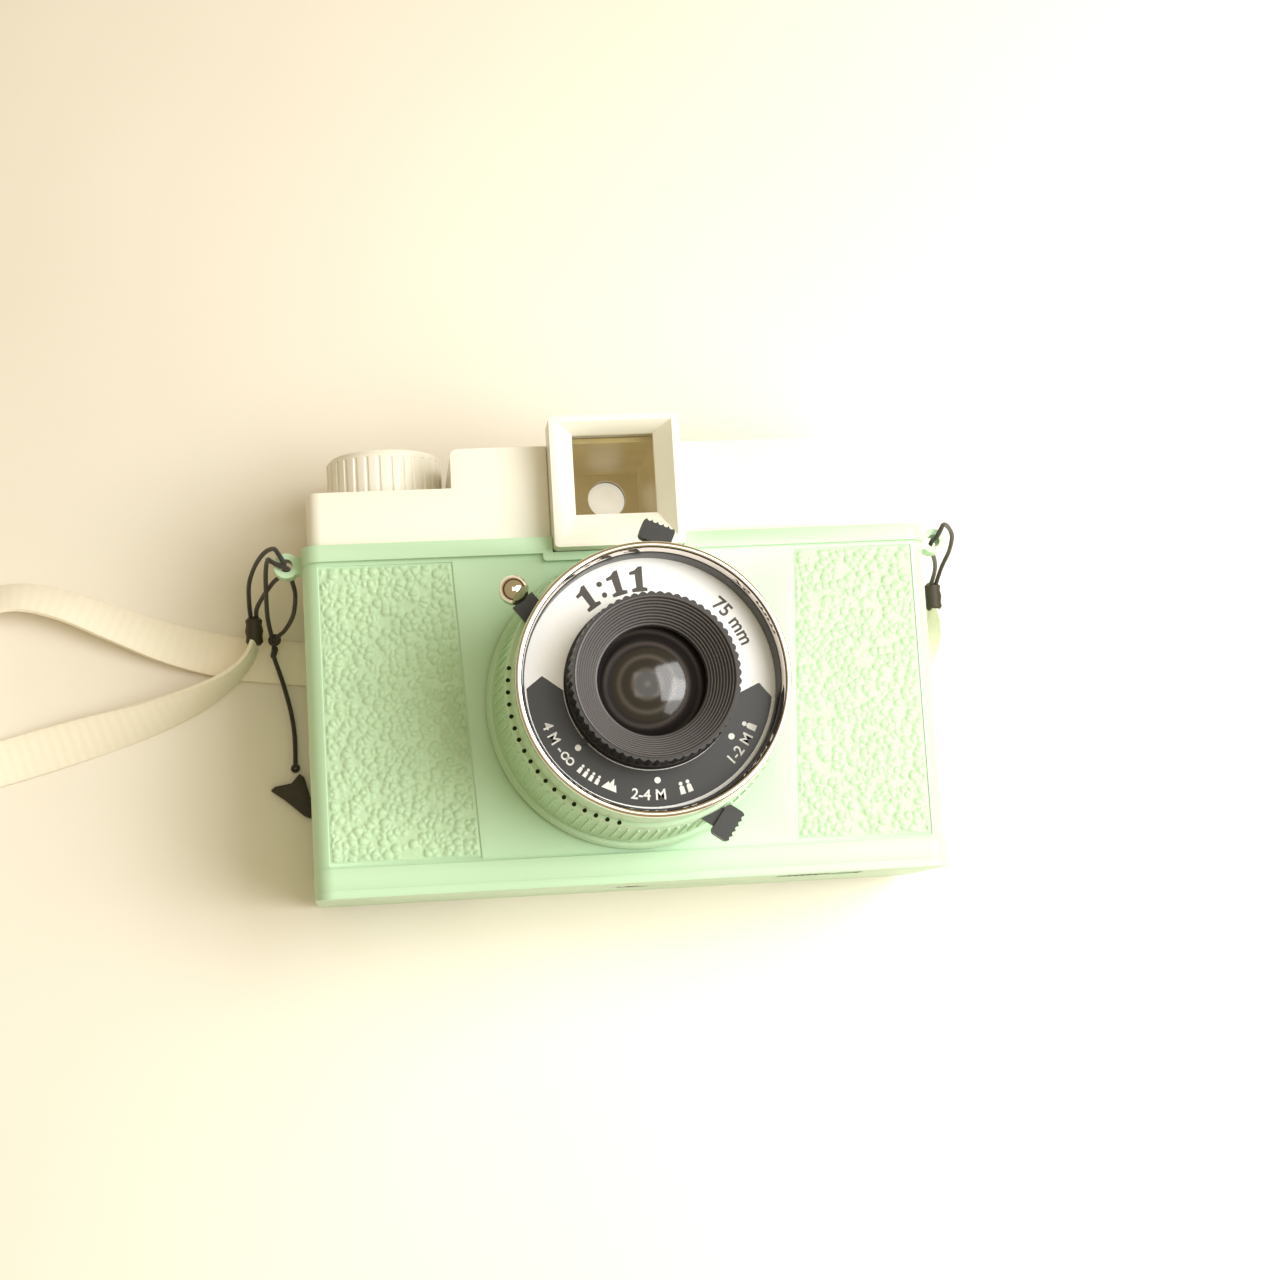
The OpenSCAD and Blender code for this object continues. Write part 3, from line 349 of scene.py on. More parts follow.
def braid_with_painted_highlight(name, base):
    """Thin braided cord with a painted highlight on its raised strands."""
    finish = Finish(name, base, 0.7, Sheen_Weight=0.2)
    wave = finish.node("TexWave", {"bands_direction": "DIAGONAL"}, out=1,
                       Vector=finish.place(), Scale=900.0, Distortion=2.0, Detail=1.0)
    slow = finish.noise(200)
    # Painted highlight: lighter where the strands rise, plus random lighter patches.
    finish.put("Base Color", finish.mix(wave * 0.5 + slow * 0.3, base, tuple(c * 2.6 + 0.01 for c in base)))
    finish.bump(wave, 0.6, 0.0001)
    return finish.mat


def grained(name, base, rough=0.5, scale=600):
    """Leather or leathercloth with fine grain over its modelled pebbles."""
    finish = Finish(name, base, rough).mottle(0.14, 120, 0.8, 0.1)
    cells = finish.node("TexVoronoi", {"feature": "DISTANCE_TO_EDGE"}, Vector=finish.place(), Scale=scale)
    finish.bump(cells * 2.0 + finish.noise(1800, 2.0) * 0.4, 0.35, 0.00012)
    return finish.mat


def glass(name, base, alpha, rough=0.03, coat=0.6):
    """Thin clear plastic or coated glass, by transparency, with faint wipe marks."""
    finish = Finish(name, base, rough, IOR=1.5, Specular_IOR_Level=0.8)
    marks = finish.noise(70)
    finish.put("Roughness", marks * 0.05 + rough)
    finish.put("Alpha", marks * 0.08 + alpha)
    finish.put("Coat Weight", marks * 0.1 + coat)
    finish.mat.surface_render_method = "DITHERED"
    return finish.mat


def ring_painted_glass(name, base, ring, alpha):
    """Coated front glass: nearly black, with a painted refraction of the rings inside it showing faintly."""
    finish = Finish(name, base, 0.1, IOR=1.5, Specular_IOR_Level=0.8)
    # Painted refraction: lighter rings painted on the glass, round a centre shifted as the view through the
    # glass would shift them.
    centre = (LENS_AXIS[0] - 1.0, LENS_AXIS[1] - 0.6)
    rings = (finish.radius(centre) * (2.4 / MM) + 1.2).sine() * 0.5 + 0.5
    finish.put("Base Color", finish.mix(rings ** 3.0, base, ring))
    finish.put("Roughness", finish.noise(70) * 0.05 + 0.09)
    finish.put("Alpha", finish.noise(70) * 0.06 + alpha)
    finish.mat.surface_render_method = "DITHERED"
    return finish.mat


def painted_glow(name, base, glow):
    """Plastic with a painted glow: an emission that stands in for daylight shining through it from behind.
    """
    finish = Finish(name, base, 0.35, Emission_Strength=glow).mottle(0.2, 130, 0.55, 0.15)
    finish.put("Emission Color", finish.mix(finish.noise(110) * 0.9, base, tuple(c * 0.4 for c in base)))
    finish.bump(finish.noise(500, 2.0), 0.1, 0.0001)
    return finish.mat


def paper(name, base):
    """Matt backing paper with painted shade: darker and yellower towards its far left corner, where the
    light falls off.
    """
    finish = Finish(name, base, 0.85).mottle(0.05, 12, 0.95, 0.05)
    x, y = finish.flat(finish.place())
    # Painted shade growing towards the far left corner, with slight random unevenness.
    painted_corner_shade = (y * 0.9 - x * 0.75) + finish.noise(9) * 0.12
    finish.put("Base Color", finish.mix(painted_corner_shade * 1.9, base, finish.shaded(0.62, 0.58, 0.52)))
    finish.bump(finish.noise(300, 4.0), 0.12, 0.0002)
    return finish.mat


def make_finishes():
    c = colours()
    moulded("shell_green", tuple(c.shell), 0.36, 0.10)
    grained("cloth_green", tuple(c.cloth), 0.42, 900)
    moulded("cover_cream", tuple(c.cover), 0.34, 0.08)
    moulded("soft_black", rgb(34, 33, 31), 0.42, 0.15)
    moulded("inner_black", rgb(24, 24, 24), 0.6, 0.2)
    moulded("lens_black", rgb(40, 37, 37), 0.34, 0.05)
    metal("bright_chrome", rgb(236, 226, 218), 0.05)
    metal("spring_steel", rgb(196, 194, 190), 0.22)
    metal("plate_silver", rgb(255, 255, 254), 0.4, brushed=True, tarnish=0.02, mirror=0.08)
    moulded("zone_black", rgb(38, 37, 35), 0.3, 0.05)
    smooth("chamber_dark", rgb(46, 41, 40), 0.6)
    smooth("chamber_grey", rgb(84, 77, 73), 0.5)
    # Near-black painted shade for the gap inside the bezel rim.
    smooth("sleeve_gap_shade", rgb(14, 12, 12), 0.3)
    # Baffle with painted shade in its grooves; the second colour is the groove shade.
    groove_shaded("baffle_grey_groove_shade", rgb(92, 85, 83), rgb(12, 11, 11))
    moulded("print_white", rgb(240, 240, 236), 0.4, 0.02)
    moulded("print_grey", rgb(70, 64, 58), 0.4, 0.02)
    glass("clear_glass", rgb(60, 66, 60), 0.05, 0.03, 0.0)
    # The second colour is the painted refraction of the rings inside.
    ring_painted_glass("lens_glass", rgb(38, 34, 33), rgb(78, 71, 67), 0.88)
    # Painted glow for daylight through the eyepiece.
    painted_glow("eyepiece_light", rgb(250, 246, 232), 0.9)
    glass("window_red", rgb(190, 20, 14), 0.75, 0.08, 0.3)
    # Painted glow for daylight through the finder tunnel.
    painted_glow("tunnel_amber_glow", rgb(186, 166, 106), 0.38)
    woven("ribbon_weave", tuple(c.ribbon))
    braid_with_painted_highlight("cord_black", rgb(38, 34, 28))
    grained("tab_leather", rgb(56, 48, 32), 0.55, 900)
    paper("floor_paper", rgb(252, 246, 236))
    # Dark olive painted shade for the holes in the barrel.
    metal("hole_shade_dark", rgb(40, 48, 26), 0.6)


# ------------------------------------------------------------------ modelling helpers


def begin():
    if bpy.context.object and bpy.context.object.mode != "OBJECT":
        bpy.ops.object.mode_set(mode="OBJECT")
    bpy.ops.object.select_all(action="DESELECT")


def pick(obj):
    begin()
    obj.select_set(True)
    bpy.context.view_layer.objects.active = obj
    return obj


def on_circle(radius, turn, centre=(0.0, 0.0)):
    """The (x, y) point at a turn, in radians, on a circle."""
    return (centre[0] + radius * math.cos(turn), centre[1] + radius * math.sin(turn))


def circle(radius, count, centre=(0.0, 0.0)):
    return [on_circle(radius, math.tau * i / count, centre) for i in range(count)]


def arc(radius, first, last, step):
    """Points on a circle round the origin, from first up to last in degrees."""
    return [on_circle(radius, math.radians(a)) for a in range(first, last, step)]


def about_axis(points):
    """Points measured from the lens axis, moved to their place."""
    return [(LENS_AXIS[0] + x, LENS_AXIS[1] + y) for x, y in points]


def loop_of(points, name):
    """A closed loop of edges through the points, in millimetres."""
    begin()
    bpy.ops.mesh.primitive_circle_add(vertices=len(points), radius=0.01)
    obj = bpy.context.object
    obj.name = obj.data.name = name
    for vertex, point in zip(obj.data.vertices, points):
        vertex.co = Vector(point) * MM
    return obj


def join(objs, name):
    objs = list(objs)
    begin()
    for o in objs:
        o.select_set(True)
    bpy.context.view_layer.objects.active = objs[0]
    if len(objs) > 1:
        bpy.ops.object.join()
    obj = bpy.context.object
    obj.name = obj.data.name = name
    return obj


def edit(obj, *steps, merge=True):
    """Runs steps in edit mode with everything selected, then tidies the normals."""
    pick(obj)
    bpy.ops.object.mode_set(mode="EDIT")
    for step in steps:
        bpy.ops.mesh.select_all(action="SELECT")
        step()
    bpy.ops.mesh.select_all(action="SELECT")
    if merge:
        bpy.ops.mesh.remove_doubles(threshold=0.000001)
    bpy.ops.mesh.normals_make_consistent(inside=False)
    bpy.ops.object.mode_set(mode="OBJECT")
    return obj


def prism(outline, z0, z1, name):
    """A flat outline of (x, y) points raised from z0 to z1."""
    obj = loop_of([(x, y, z0) for x, y in outline], name)
    rise = Vector((0, 0, (z1 - z0) * MM))
    return edit(
        obj,
        lambda: bpy.ops.mesh.edge_face_add(),
        lambda: bpy.ops.mesh.extrude_region_move(TRANSFORM_OT_translate={"value": rise}))


def collar(outer, inner, z0, z1, name):
    """A ring between two outlines with as many points each."""
    obj = join([loop_of([(x, y, z0) for x, y in line], name) for line in (outer, inner)], name)
    rise = Vector((0, 0, (z1 - z0) * MM))
    return edit(
        obj,
        lambda: bpy.ops.mesh.bridge_edge_loops(),
        lambda: bpy.ops.mesh.extrude_region_move(TRANSFORM_OT_translate={"value": rise}))


def turned(profile, name, centre=LENS_AXIS, steps=120):
    """A closed (radius, z) profile spun round the upright axis through centre."""
    x, y = centre
    obj = loop_of([(x + r, y, z) for r, z in profile], name)
    return edit(obj, lambda: bpy.ops.mesh.spin(
        steps=steps, angle=math.tau, center=(x * MM, y * MM, 0), axis=(0, 0, 1)))


def spun_copies(obj, count, step, name, first=0.0):
    """Copies of a small piece turned about the lens axis, joined into one."""
    copies = []
    pivot = Matrix.Translation(Vector((*LENS_AXIS, 0)) * MM)
    for i in range(count):
        copy = obj.copy()
        copy.data = obj.data.copy()
        bpy.context.collection.objects.link(copy)
        turn = Matrix.Rotation(math.radians(first + step * i), 4, "Z")
        copy.data.transform(pivot @ turn @ pivot.inverted())
        copies.append(copy)
    bpy.data.objects.remove(obj)
    return join(copies, name)


def rounded(obj, width, segments=2, angle=35):
    pick(obj)
    bevel = obj.modifiers.new("Bevel", "BEVEL")
    bevel.width, bevel.segments = width * MM, segments
    bevel.limit_method, bevel.angle_limit = "ANGLE", math.radians(angle)
    bevel.use_clamp_overlap = True
    bpy.ops.object.modifier_apply(modifier=bevel.name)
    return obj


def finish(obj, body, material, slot, smooth=35, replaces=()):
    pick(obj)
    bpy.ops.object.shade_smooth_by_angle(angle=math.radians(smooth))
    obj.data.materials.clear()
    obj.data.materials.append(Finish.made[material])
    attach(obj, body)
    if replaces:
        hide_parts(*replaces)
    return obj


def softened(node, width, body, material, slot, segments=2):
    """A copy of a CAD node with its sharp edges rounded, standing for the node."""
    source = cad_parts[node]
    copy = source.copy()
    copy.data = source.data.copy()
    for key in list(copy.keys()):
        if key.startswith("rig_"):
            del copy[key]
    bpy.context.collection.objects.link(copy)
    copy.name = copy.data.name = node + "_moulding"
    copy.parent = None
    pick(copy)
    bpy.ops.object.mode_set(mode="EDIT")
    bpy.ops.mesh.select_all(action="SELECT")
    bpy.ops.mesh.remove_doubles(threshold=0.000002)
    bpy.ops.mesh.tris_convert_to_quads(
        face_threshold=math.radians(0.6), shape_threshold=math.radians(180))
    bpy.ops.object.mode_set(mode="OBJECT")
    rounded(copy, width, segments, 38)
    return finish(copy, body, material, slot, 32, (node,))


# ------------------------------------------------------------------ cords

LEAD = [
    (-76.6, 9.6, 7.2, 85), (-78, 6.5, 7.3, 84), (-81, 3.4, 7.1, 80), (-86, 0.2, 6, 70),
    (-93, -2.9, 4.8, 58), (-102, -5.8, 3.7, 45), (-112, -8.3, 2.8, 30), (-122, -10.8, 1.9, 16),
    (-132, -13.3, 1.1, 6), (-142, -15.6, 0.8, 0), (-152, -19, 1.1, 8), (-160, -24.8, 3.4, 40),
    (-166, -33, 5, 84)]
RETURN = [
    (-178, -50.5, 5.2, 88), (-169, -45.5, 6, 86), (-159, -37, 6.8, 84), (-151.5, -25.5, 7, 80),
    (-146.5, -12, 6.6, 72), (-143, 1, 5.6, 62), (-140.5, 12, 4.9, 55), (-136, 20, 4.4, 50),
    (-128, 22.6, 4.1, 46), (-118, 20.6, 3.9, 42), (-106, 15.6, 3.2, 32), (-95, 11.2, 2.3, 18),
    (-84, 8.2, 1.2, 5), (-73, 6.4, 0.8, 1), (-55, 4.6, 0.7, 0), (-30, 2.6, 0.7, 0),
    (0, -0.6, 0.7, 0), (30, -4, 0.7, 0), (50, -6, 0.7, 0), (60, -5.4, 0.7, 0),
    (67, -2.4, 1, 4), (72, 2.6, 2.8, 28), (74.4, 7, 4.4, 60), (75.1, 11.6, 5.4, 85)]
LOOP_LEFT = [
    (-77.2, 15, 7.2), (-77.3, 18.4, 11), (-76.8, 21.4, 18), (-75, 23.8, 26), (-72.8, 25, 33),
    (-70.8, 24.9, 37.6), (-69.9, 23.6, 39.6), (-68.8, 21.6, 39.9), (-68.75, 21.5, 36.5),
    (-69.2, 20.8, 31), (-71.6, 20, 24.5), (-74.2, 18.4, 16), (-75.8, 16.8, 10), (-76, 15, 7.2)]
LEASH_LOOP = [
    (-72.9, 11.2, 7.6), (-73.4, 14.6, 13), (-73.2, 18.6, 22), (-72.8, 21.6, 30), (-72.1, 22.8, 36.6),
    (-71.3, 21.9, 39.3), (-69.4, 20.8, 39.5), (-68.2, 20.3, 39.5), (-67.95, 20.6, 36.5),
    (-67.9, 20.5, 33), (-67.5, 19.6, 29), (-67, 17, 25), (-67.8, 14, 17.5), (-69.8, 11.9, 11),
    (-71.5, 10.9, 7.6)]
LEASH = [
    (-72.6, 7, 4.6), (-71.6, 3.6, 2.8), (-70.6, 0, 1.7), (-69.6, -4.4, 1.1), (-69, -9, 0.85),
    (-68.9, -13, 0.85), (-69, -16.6, 1.1)]
LOOP_RIGHT = [
    (76.2, 16.4, 5.9), (76.4, 19.6, 12), (76.4, 22, 20), (75.2, 23.8, 28), (73, 24.6, 34),
    (71, 24.6, 38), (69.9, 23.4, 39.8), (68.7, 21.5, 39.8), (68.5, 21.3, 36.5),
    (69.2, 20.6, 31), (71.6, 20.2, 24.5), (74, 19.4, 16), (75, 18.2, 10), (75, 16.4, 5.9)]


def smooth_route(points, spacing=2.0):
    """Points about spacing apart on a smooth curve through the given ones."""
    points = [Vector(p) for p in points]
    out = []
    for i in range(len(points) - 1):
        a, b = points[i], points[i + 1]
        before = points[i - 1] if i else a * 2 - b
        after = points[i + 2] if i + 2 < len(points) else b * 2 - a
        count = max(2, round((b.to_3d() - a.to_3d()).length / spacing))
        for k in range(count):
            t = k / count
            out.append(0.5 * (2 * a + (b - before) * t + (2 * before - 5 * a + 4 * b - after) * t * t
                              + (3 * a - before - 3 * b + after) * t ** 3))
    out.append(points[-1])
    return out


def on_coil(angle, radius):
    """A route point on the coil, with the strap on edge."""
    return (*on_circle(radius, math.radians(angle), COIL), COIL_Z, 90)


def coiled_strap():
    """The spare strap, doubled and wound once, folded where it turns back."""
    inward = [on_coil(COIL_START - t, COIL_IN - COIL_IN_DROP * t / COIL_TURN)
              for t in range(0, COIL_TURN, COIL_STEP)]
    end = COIL_START - COIL_TURN
    fold = [on_coil(end - back, radius) for back, radius in
            ((4, 50.5), (12, 49.8), (19, 53), (19, 57.5), (12, 60.2), (4, 59.6))]
    outward = [on_coil(COIL_START - 20 - t, COIL_OUT - COIL_OUT_DROP * t / COIL_TURN)
               for t in range(COIL_TURN - 25, -1, -COIL_STEP)]
    return inward + fold + outward


def swept(route, width, thick, name, rounding=0.35):
    """A flat or round strip along a route of (x, y, z, tilt), with its own UV map."""
    points = [Vector(p[:3]) for p in route]
    tilts = [math.radians(p[3]) for p in route]
    shape = [(-0.5, -rounding), (-0.46, -0.5), (0, -0.5), (0.46, -0.5), (0.5, -rounding),
             (0.5, rounding), (0.46, 0.5), (0, 0.5), (-0.46, 0.5), (-0.5, rounding)]
    verts, faces, n = [], [], len(shape)
    for i, p in enumerate(points):
        ahead = (points[min(i + 1, len(points) - 1)] - points[max(i - 1, 0)]).normalized()
        side = ahead.cross(Vector((0, 0, 1))).normalized()
        up = side.cross(ahead)
        across = side * math.cos(tilts[i]) + up * math.sin(tilts[i])
        deep = up * math.cos(tilts[i]) - side * math.sin(tilts[i])
        verts += [(p + across * (width * a) + deep * (thick * b)) * MM for a, b in shape]
    for i in range(len(points) - 1):
        for k in range(n):
            a, b = i * n + k, i * n + (k + 1) % n
            faces.append((b, a, a + n, b + n))
    faces += [tuple(range(n)), tuple(range(len(verts) - 1, len(verts) - n - 1, -1))]
    mesh = bpy.data.meshes.new(name)
    mesh.from_pydata(verts, [], faces)
    obj = bpy.data.objects.new(name, mesh)
    bpy.context.collection.objects.link(obj)
    run = [0.0]
    for a, b in zip(points, points[1:]):
        run.append(run[-1] + (b - a).length * MM)
    uv = mesh.uv_layers.new(name="UVMap")
    for face in mesh.polygons:
        for loop in face.loop_indices:
            v = mesh.loops[loop].vertex_index
            uv.data[loop].uv = (shape[v % n][0] + 0.5, run[v // n])
    return edit(obj, merge=False)


def round_cord(points, diameter, name):
    """A tube along the points, in millimetres."""
    curve = bpy.data.curves.new(name, "CURVE")
    curve.dimensions = "3D"
    curve.bevel_depth, curve.bevel_resolution = diameter * MM / 2, 2
    curve.use_fill_caps = True
    line = curve.splines.new("POLY")
    line.points.add(len(points) - 1)
    for slot, p in zip(line.points, points):
        slot.co = (*(Vector(p[:3]) * MM), 1)
    obj = bpy.data.objects.new(name, curve)
    bpy.context.collection.objects.link(obj)
    pick(obj)
    bpy.ops.object.convert(target="MESH")
    return edit(bpy.context.object, merge=False)


def crimp(name, node, centre, length, radius):
    """A folded, pinched end that holds ribbon and cord together."""
    profile = [(0, 0), (radius * 0.7, 0), (radius, length * 0.12), (radius * 0.92, length * 0.3),
               (radius * 1.04, length * 0.5), (radius * 0.9, length * 0.72),
               (radius * 0.98, length * 0.88), (radius * 0.6, length), (0, length)]
    obj = turned(profile, name, (0, 0), 24)
    lying = Matrix.Rotation(math.radians(-90), 4, "X")
    obj.data.transform(Matrix.Translation(Vector(centre) * MM) @ lying)
    return finish(obj, "body", "tab_leather", "dark_leather", 50, (node,))


def tied_knot(name, node, spots, size):
    """One wrap of cord at each spot, drawn tight."""
    parts = []
    for i, (x, y, z) in enumerate(spots):
        begin()
        bpy.ops.mesh.primitive_torus_add(
            major_segments=20, minor_segments=8,
            major_radius=size * 0.55 * MM, minor_radius=size * 0.42 * MM,
            location=(x * MM, y * MM, z * MM), rotation=(0.5 + 1.3 * i, 0.8 * i, 0.4 + i))
        bpy.ops.object.transform_apply(location=True, rotation=True, scale=True)
        parts.append(bpy.context.object)
    return finish(join(parts, name), "body", "cord_black", "black_cord", 50, (node,))


class BOXCAM_OT_strap(bpy.types.Operator):
    """Neck ribbon, its coil, and the cords through both lugs"""

    bl_idname = "boxcam.strap"
    bl_label = "Strap and cords"

    def execute(self, context):
        s = sizes()
        lead_in = smooth_route(LEAD)
        route = smooth_route([*LEAD, *coiled_strap(), *RETURN])
        ribbon = swept(route, s.ribbon_width / MM, s.ribbon_thick / MM, "neck_ribbon")
        finish(ribbon, "body", "ribbon_weave", "beige_ribbon", 40,
               ("strap_lead", "strap_coil", "strap_return"))
        left_end = crimp("crimp_left", "ferrule_left", (-76.6, 9.4, 7.2), 6.2, 1.9)
        right_end = crimp("crimp_right", "ferrule_right", (75.5, 11, 5.8), 6.2, 1.9)
        cord = s.cord / MM
        for name, node, points in (("lug_loop_left", "loop_left", LOOP_LEFT),
                                   ("lug_loop_right", "loop_right", LOOP_RIGHT)):
            line = smooth_route(points, 1.0)
            obj = finish(round_cord(line, cord, name), "body", "cord_black", "black_cord", 60, (node,))
            line[0] * MM
            [p * MM for p in line]
        line = smooth_route([*LEASH_LOOP, (-72.5, 9, 6), *LEASH], 1.0)
        leash = finish(round_cord(line, cord, "cap_leash"), "body", "cord_black", "black_cord", 60,
                       ("leash_loop", "leash_cord"))
        knot = tied_knot("leash_wraps", "leash_knot", [(-72.3, 10.4, 6.6), (-72.5, 7.9, 5.2)], 1.5)
        bead = tied_knot("leash_stop", "leash_bead", [(-69, -17.4, 1.3)], 1.1)
        tab = prism([(-74.6, -22), (-73.6, -21.2), (-70, -20.6), (-68.2, -18.6), (-67.2, -19.4),
                     (-66, -24), (-66, -28.6), (-67.4, -28), (-71.4, -24.4)], 0.1, 1.5, "leash_tab")
        finish(rounded(tab, 0.25), "body", "tab_leather", "dark_leather", 35, ("cap_tab",))
        line[0] * MM
        [p * MM for p in line]
        lead_in[0].to_3d() * MM
        [p.to_3d() * MM for p in route]
        return {"FINISHED"}


# ------------------------------------------------------------------ body


def pebbled(left, right, count, name):
    """A sheet of leathercloth with pebbles in its surface.

    left and right are the x of its side edges, each at the lower and the upper end.
    """
    s = sizes()
    begin()
    bpy.ops.mesh.primitive_grid_add(x_subdivisions=count, y_subdivisions=CLOTH_ROWS, size=1)
    obj = bpy.context.object
    obj.name = obj.data.name = name
    wide, tall = right[0] - left[0], CLOTH_TOP - CLOTH_LOW
    for v in obj.data.vertices:
        u, w = v.co.x + 0.5, v.co.y + 0.5
        x = (left[0] * (1 - u) + right[0] * u) * (1 - w) + (left[1] * (1 - u) + right[1] * u) * w
        y = CLOTH_LOW * (1 - w) + CLOTH_TOP * w
        from_edge = min(u * wide, (1 - u) * wide, w * tall, (1 - w) * tall)
        cell = Vector((x, y, 0)) * (MM / s.pebble)
        near, second = noise.voronoi(cell)[0][:2]
        groove = min(1.0, (second - near) * 3.0)
        pebble = (max(0.0, 1.0 - 2.3 * near * near) * groove) ** 0.5
        lift = noise.noise(cell * 0.35) * 0.15
        height = (pebble + lift) * s.relief / MM if from_edge > CLOTH_MARGIN else 0.0
        v.co = Vector((x, y, CLOTH_Z + height)) * MM
    return obj


class BOXCAM_OT_shell(bpy.types.Operator):
    """Green shell, back cover and their leathercloth"""

    bl_idname = "boxcam.shell"
    bl_label = "Shell and back"

    def execute(self, context):
        softened("front_shell", 0.35, "body", "shell_green", "green_plastic")
        softened("back_cover", 0.3, "back", "shell_green", "green_plastic")
        for left, right, count, name in (((-61.6, -61.6), (-31.5, -34.7), 130, "cloth_left"),
                                         ((33.9, 37.1), (61.6, 61.6), 120, "cloth_right")):
            finish(pebbled(left, right, count, name), "body", "cloth_green", "green_plastic", 180)
        return {"FINISHED"}


class BOXCAM_OT_cover(bpy.types.Operator):
    """Cream top cover, finder frame and winding knob"""

    bl_idname = "boxcam.cover"
    bl_label = "Top cover"

    def execute(self, context):
        softened("top_cover", 0.45, "body", "cover_cream", "cream_plastic", 3)
        softened("finder_frame", 0.4, "body", "cover_cream", "cream_plastic", 3)
        softened("winding_knob", 0.15, "knob", "cover_cream", "cream_plastic")
        return {"FINISHED"}


# ------------------------------------------------------------------ lens


def bent_text(text, size, radius, angle, z, name, inward=False, weight=0.04):
    """Raised lettering bent round the lens axis. angle is its middle, in degrees."""
    begin()
    bpy.ops.object.text_add(location=(0, 0, 0))
    obj = bpy.context.object
    obj.data.body = text
    obj.data.size = size
    obj.data.extrude = 0.02
    obj.data.offset = weight
    obj.data.align_x, obj.data.align_y = "CENTER", "CENTER"
    obj.data.resolution_u = 4
    bpy.ops.object.convert(target="MESH")
    obj = bpy.context.object
    obj.name = obj.data.name = name
    return bent(obj, radius, angle, z, inward)


def bent(obj, radius, angle, z, inward=False):
    """Bends a flat mark, drawn in millimetres about the origin, round the lens axis."""
    mid = math.radians(angle)
    for v in obj.data.vertices:
        if inward:
            a, r = mid + v.co.x / radius, radius - v.co.y
        else:
            a, r = mid - v.co.x / radius, radius + v.co.y
        v.co = Vector((*on_circle(r, a, LENS_AXIS), z + v.co.z)) * MM
    return edit(obj)


def flat_mark(outlines, name):
    """Raised flat outlines in millimetres, ready for bent()."""
    marks = [prism(line, 0, PRINT_RISE, name) for line in outlines]
    for mark in marks:
        mark.data.transform(Matrix.Scale(1 / MM, 4))
    return join(marks, name)


def ratio_mark(size, radius, angle, z, name):
    """The figures 1:11 with serifs, as bent outlines."""
    one = [(-0.34, -0.5), (0.34, -0.5), (0.34, -0.37), (0.15, -0.33), (0.15, 0.5), (0.02, 0.5),
           (-0.14, 0.36), (-0.34, 0.32), (-0.34, 0.2), (-0.14, 0.2), (-0.14, -0.33), (-0.34, -0.37)]
    spot = circle(0.11, 16)
    parts = [(one, -1.15, 0), (spot, -0.5, 0.22), (spot, -0.5, -0.26), (one, 0.15, 0), (one, 1.05, 0)]
    outlines = [[(size * (x + dx), size * (y + dy)) for x, y in line] for line, dx, dy in parts]
    return bent(flat_mark(outlines, name), radius, angle, z)


def endless_mark(size, radius, angle, z, name):
    """A lying eight for infinity, made of two rings."""
    rings = []
    for middle in (-0.85 * size, 0.85 * size):
        big, small = (circle(r, 20, (middle, 0)) for r in (size, size * 0.58))
        rings.append(collar(big, small, 0, PRINT_RISE, name))
        rings[-1].data.transform(Matrix.Scale(1 / MM, 4))
    return bent(join(rings, name), radius, angle, z, True)


def disc(centre, radius, z0, z1, name, count=20):
    return prism(circle(radius, count, centre), z0, z1, name)


def person(radius, angle, size, z, name):
    """A plain round-headed figure at an angle, in degrees, on the distance scale."""
    turn = math.radians(angle)
    x, y = on_circle(radius, turn, LENS_AXIS)
    c, s = math.cos(turn + math.pi / 2), math.sin(turn + math.pi / 2)
    parts = (circle(0.3, 16, (0, 0.75)),
             [(-0.42, -0.9), (0.42, -0.9), (0.36, 0.2), (0.18, 0.4), (-0.18, 0.4), (-0.36, 0.2)])
    return join([prism([(x + size * (a * c - b * s), y + size * (a * s + b * c)) for a, b in part],
                       z, z + PRINT_RISE, name) for part in parts], name)


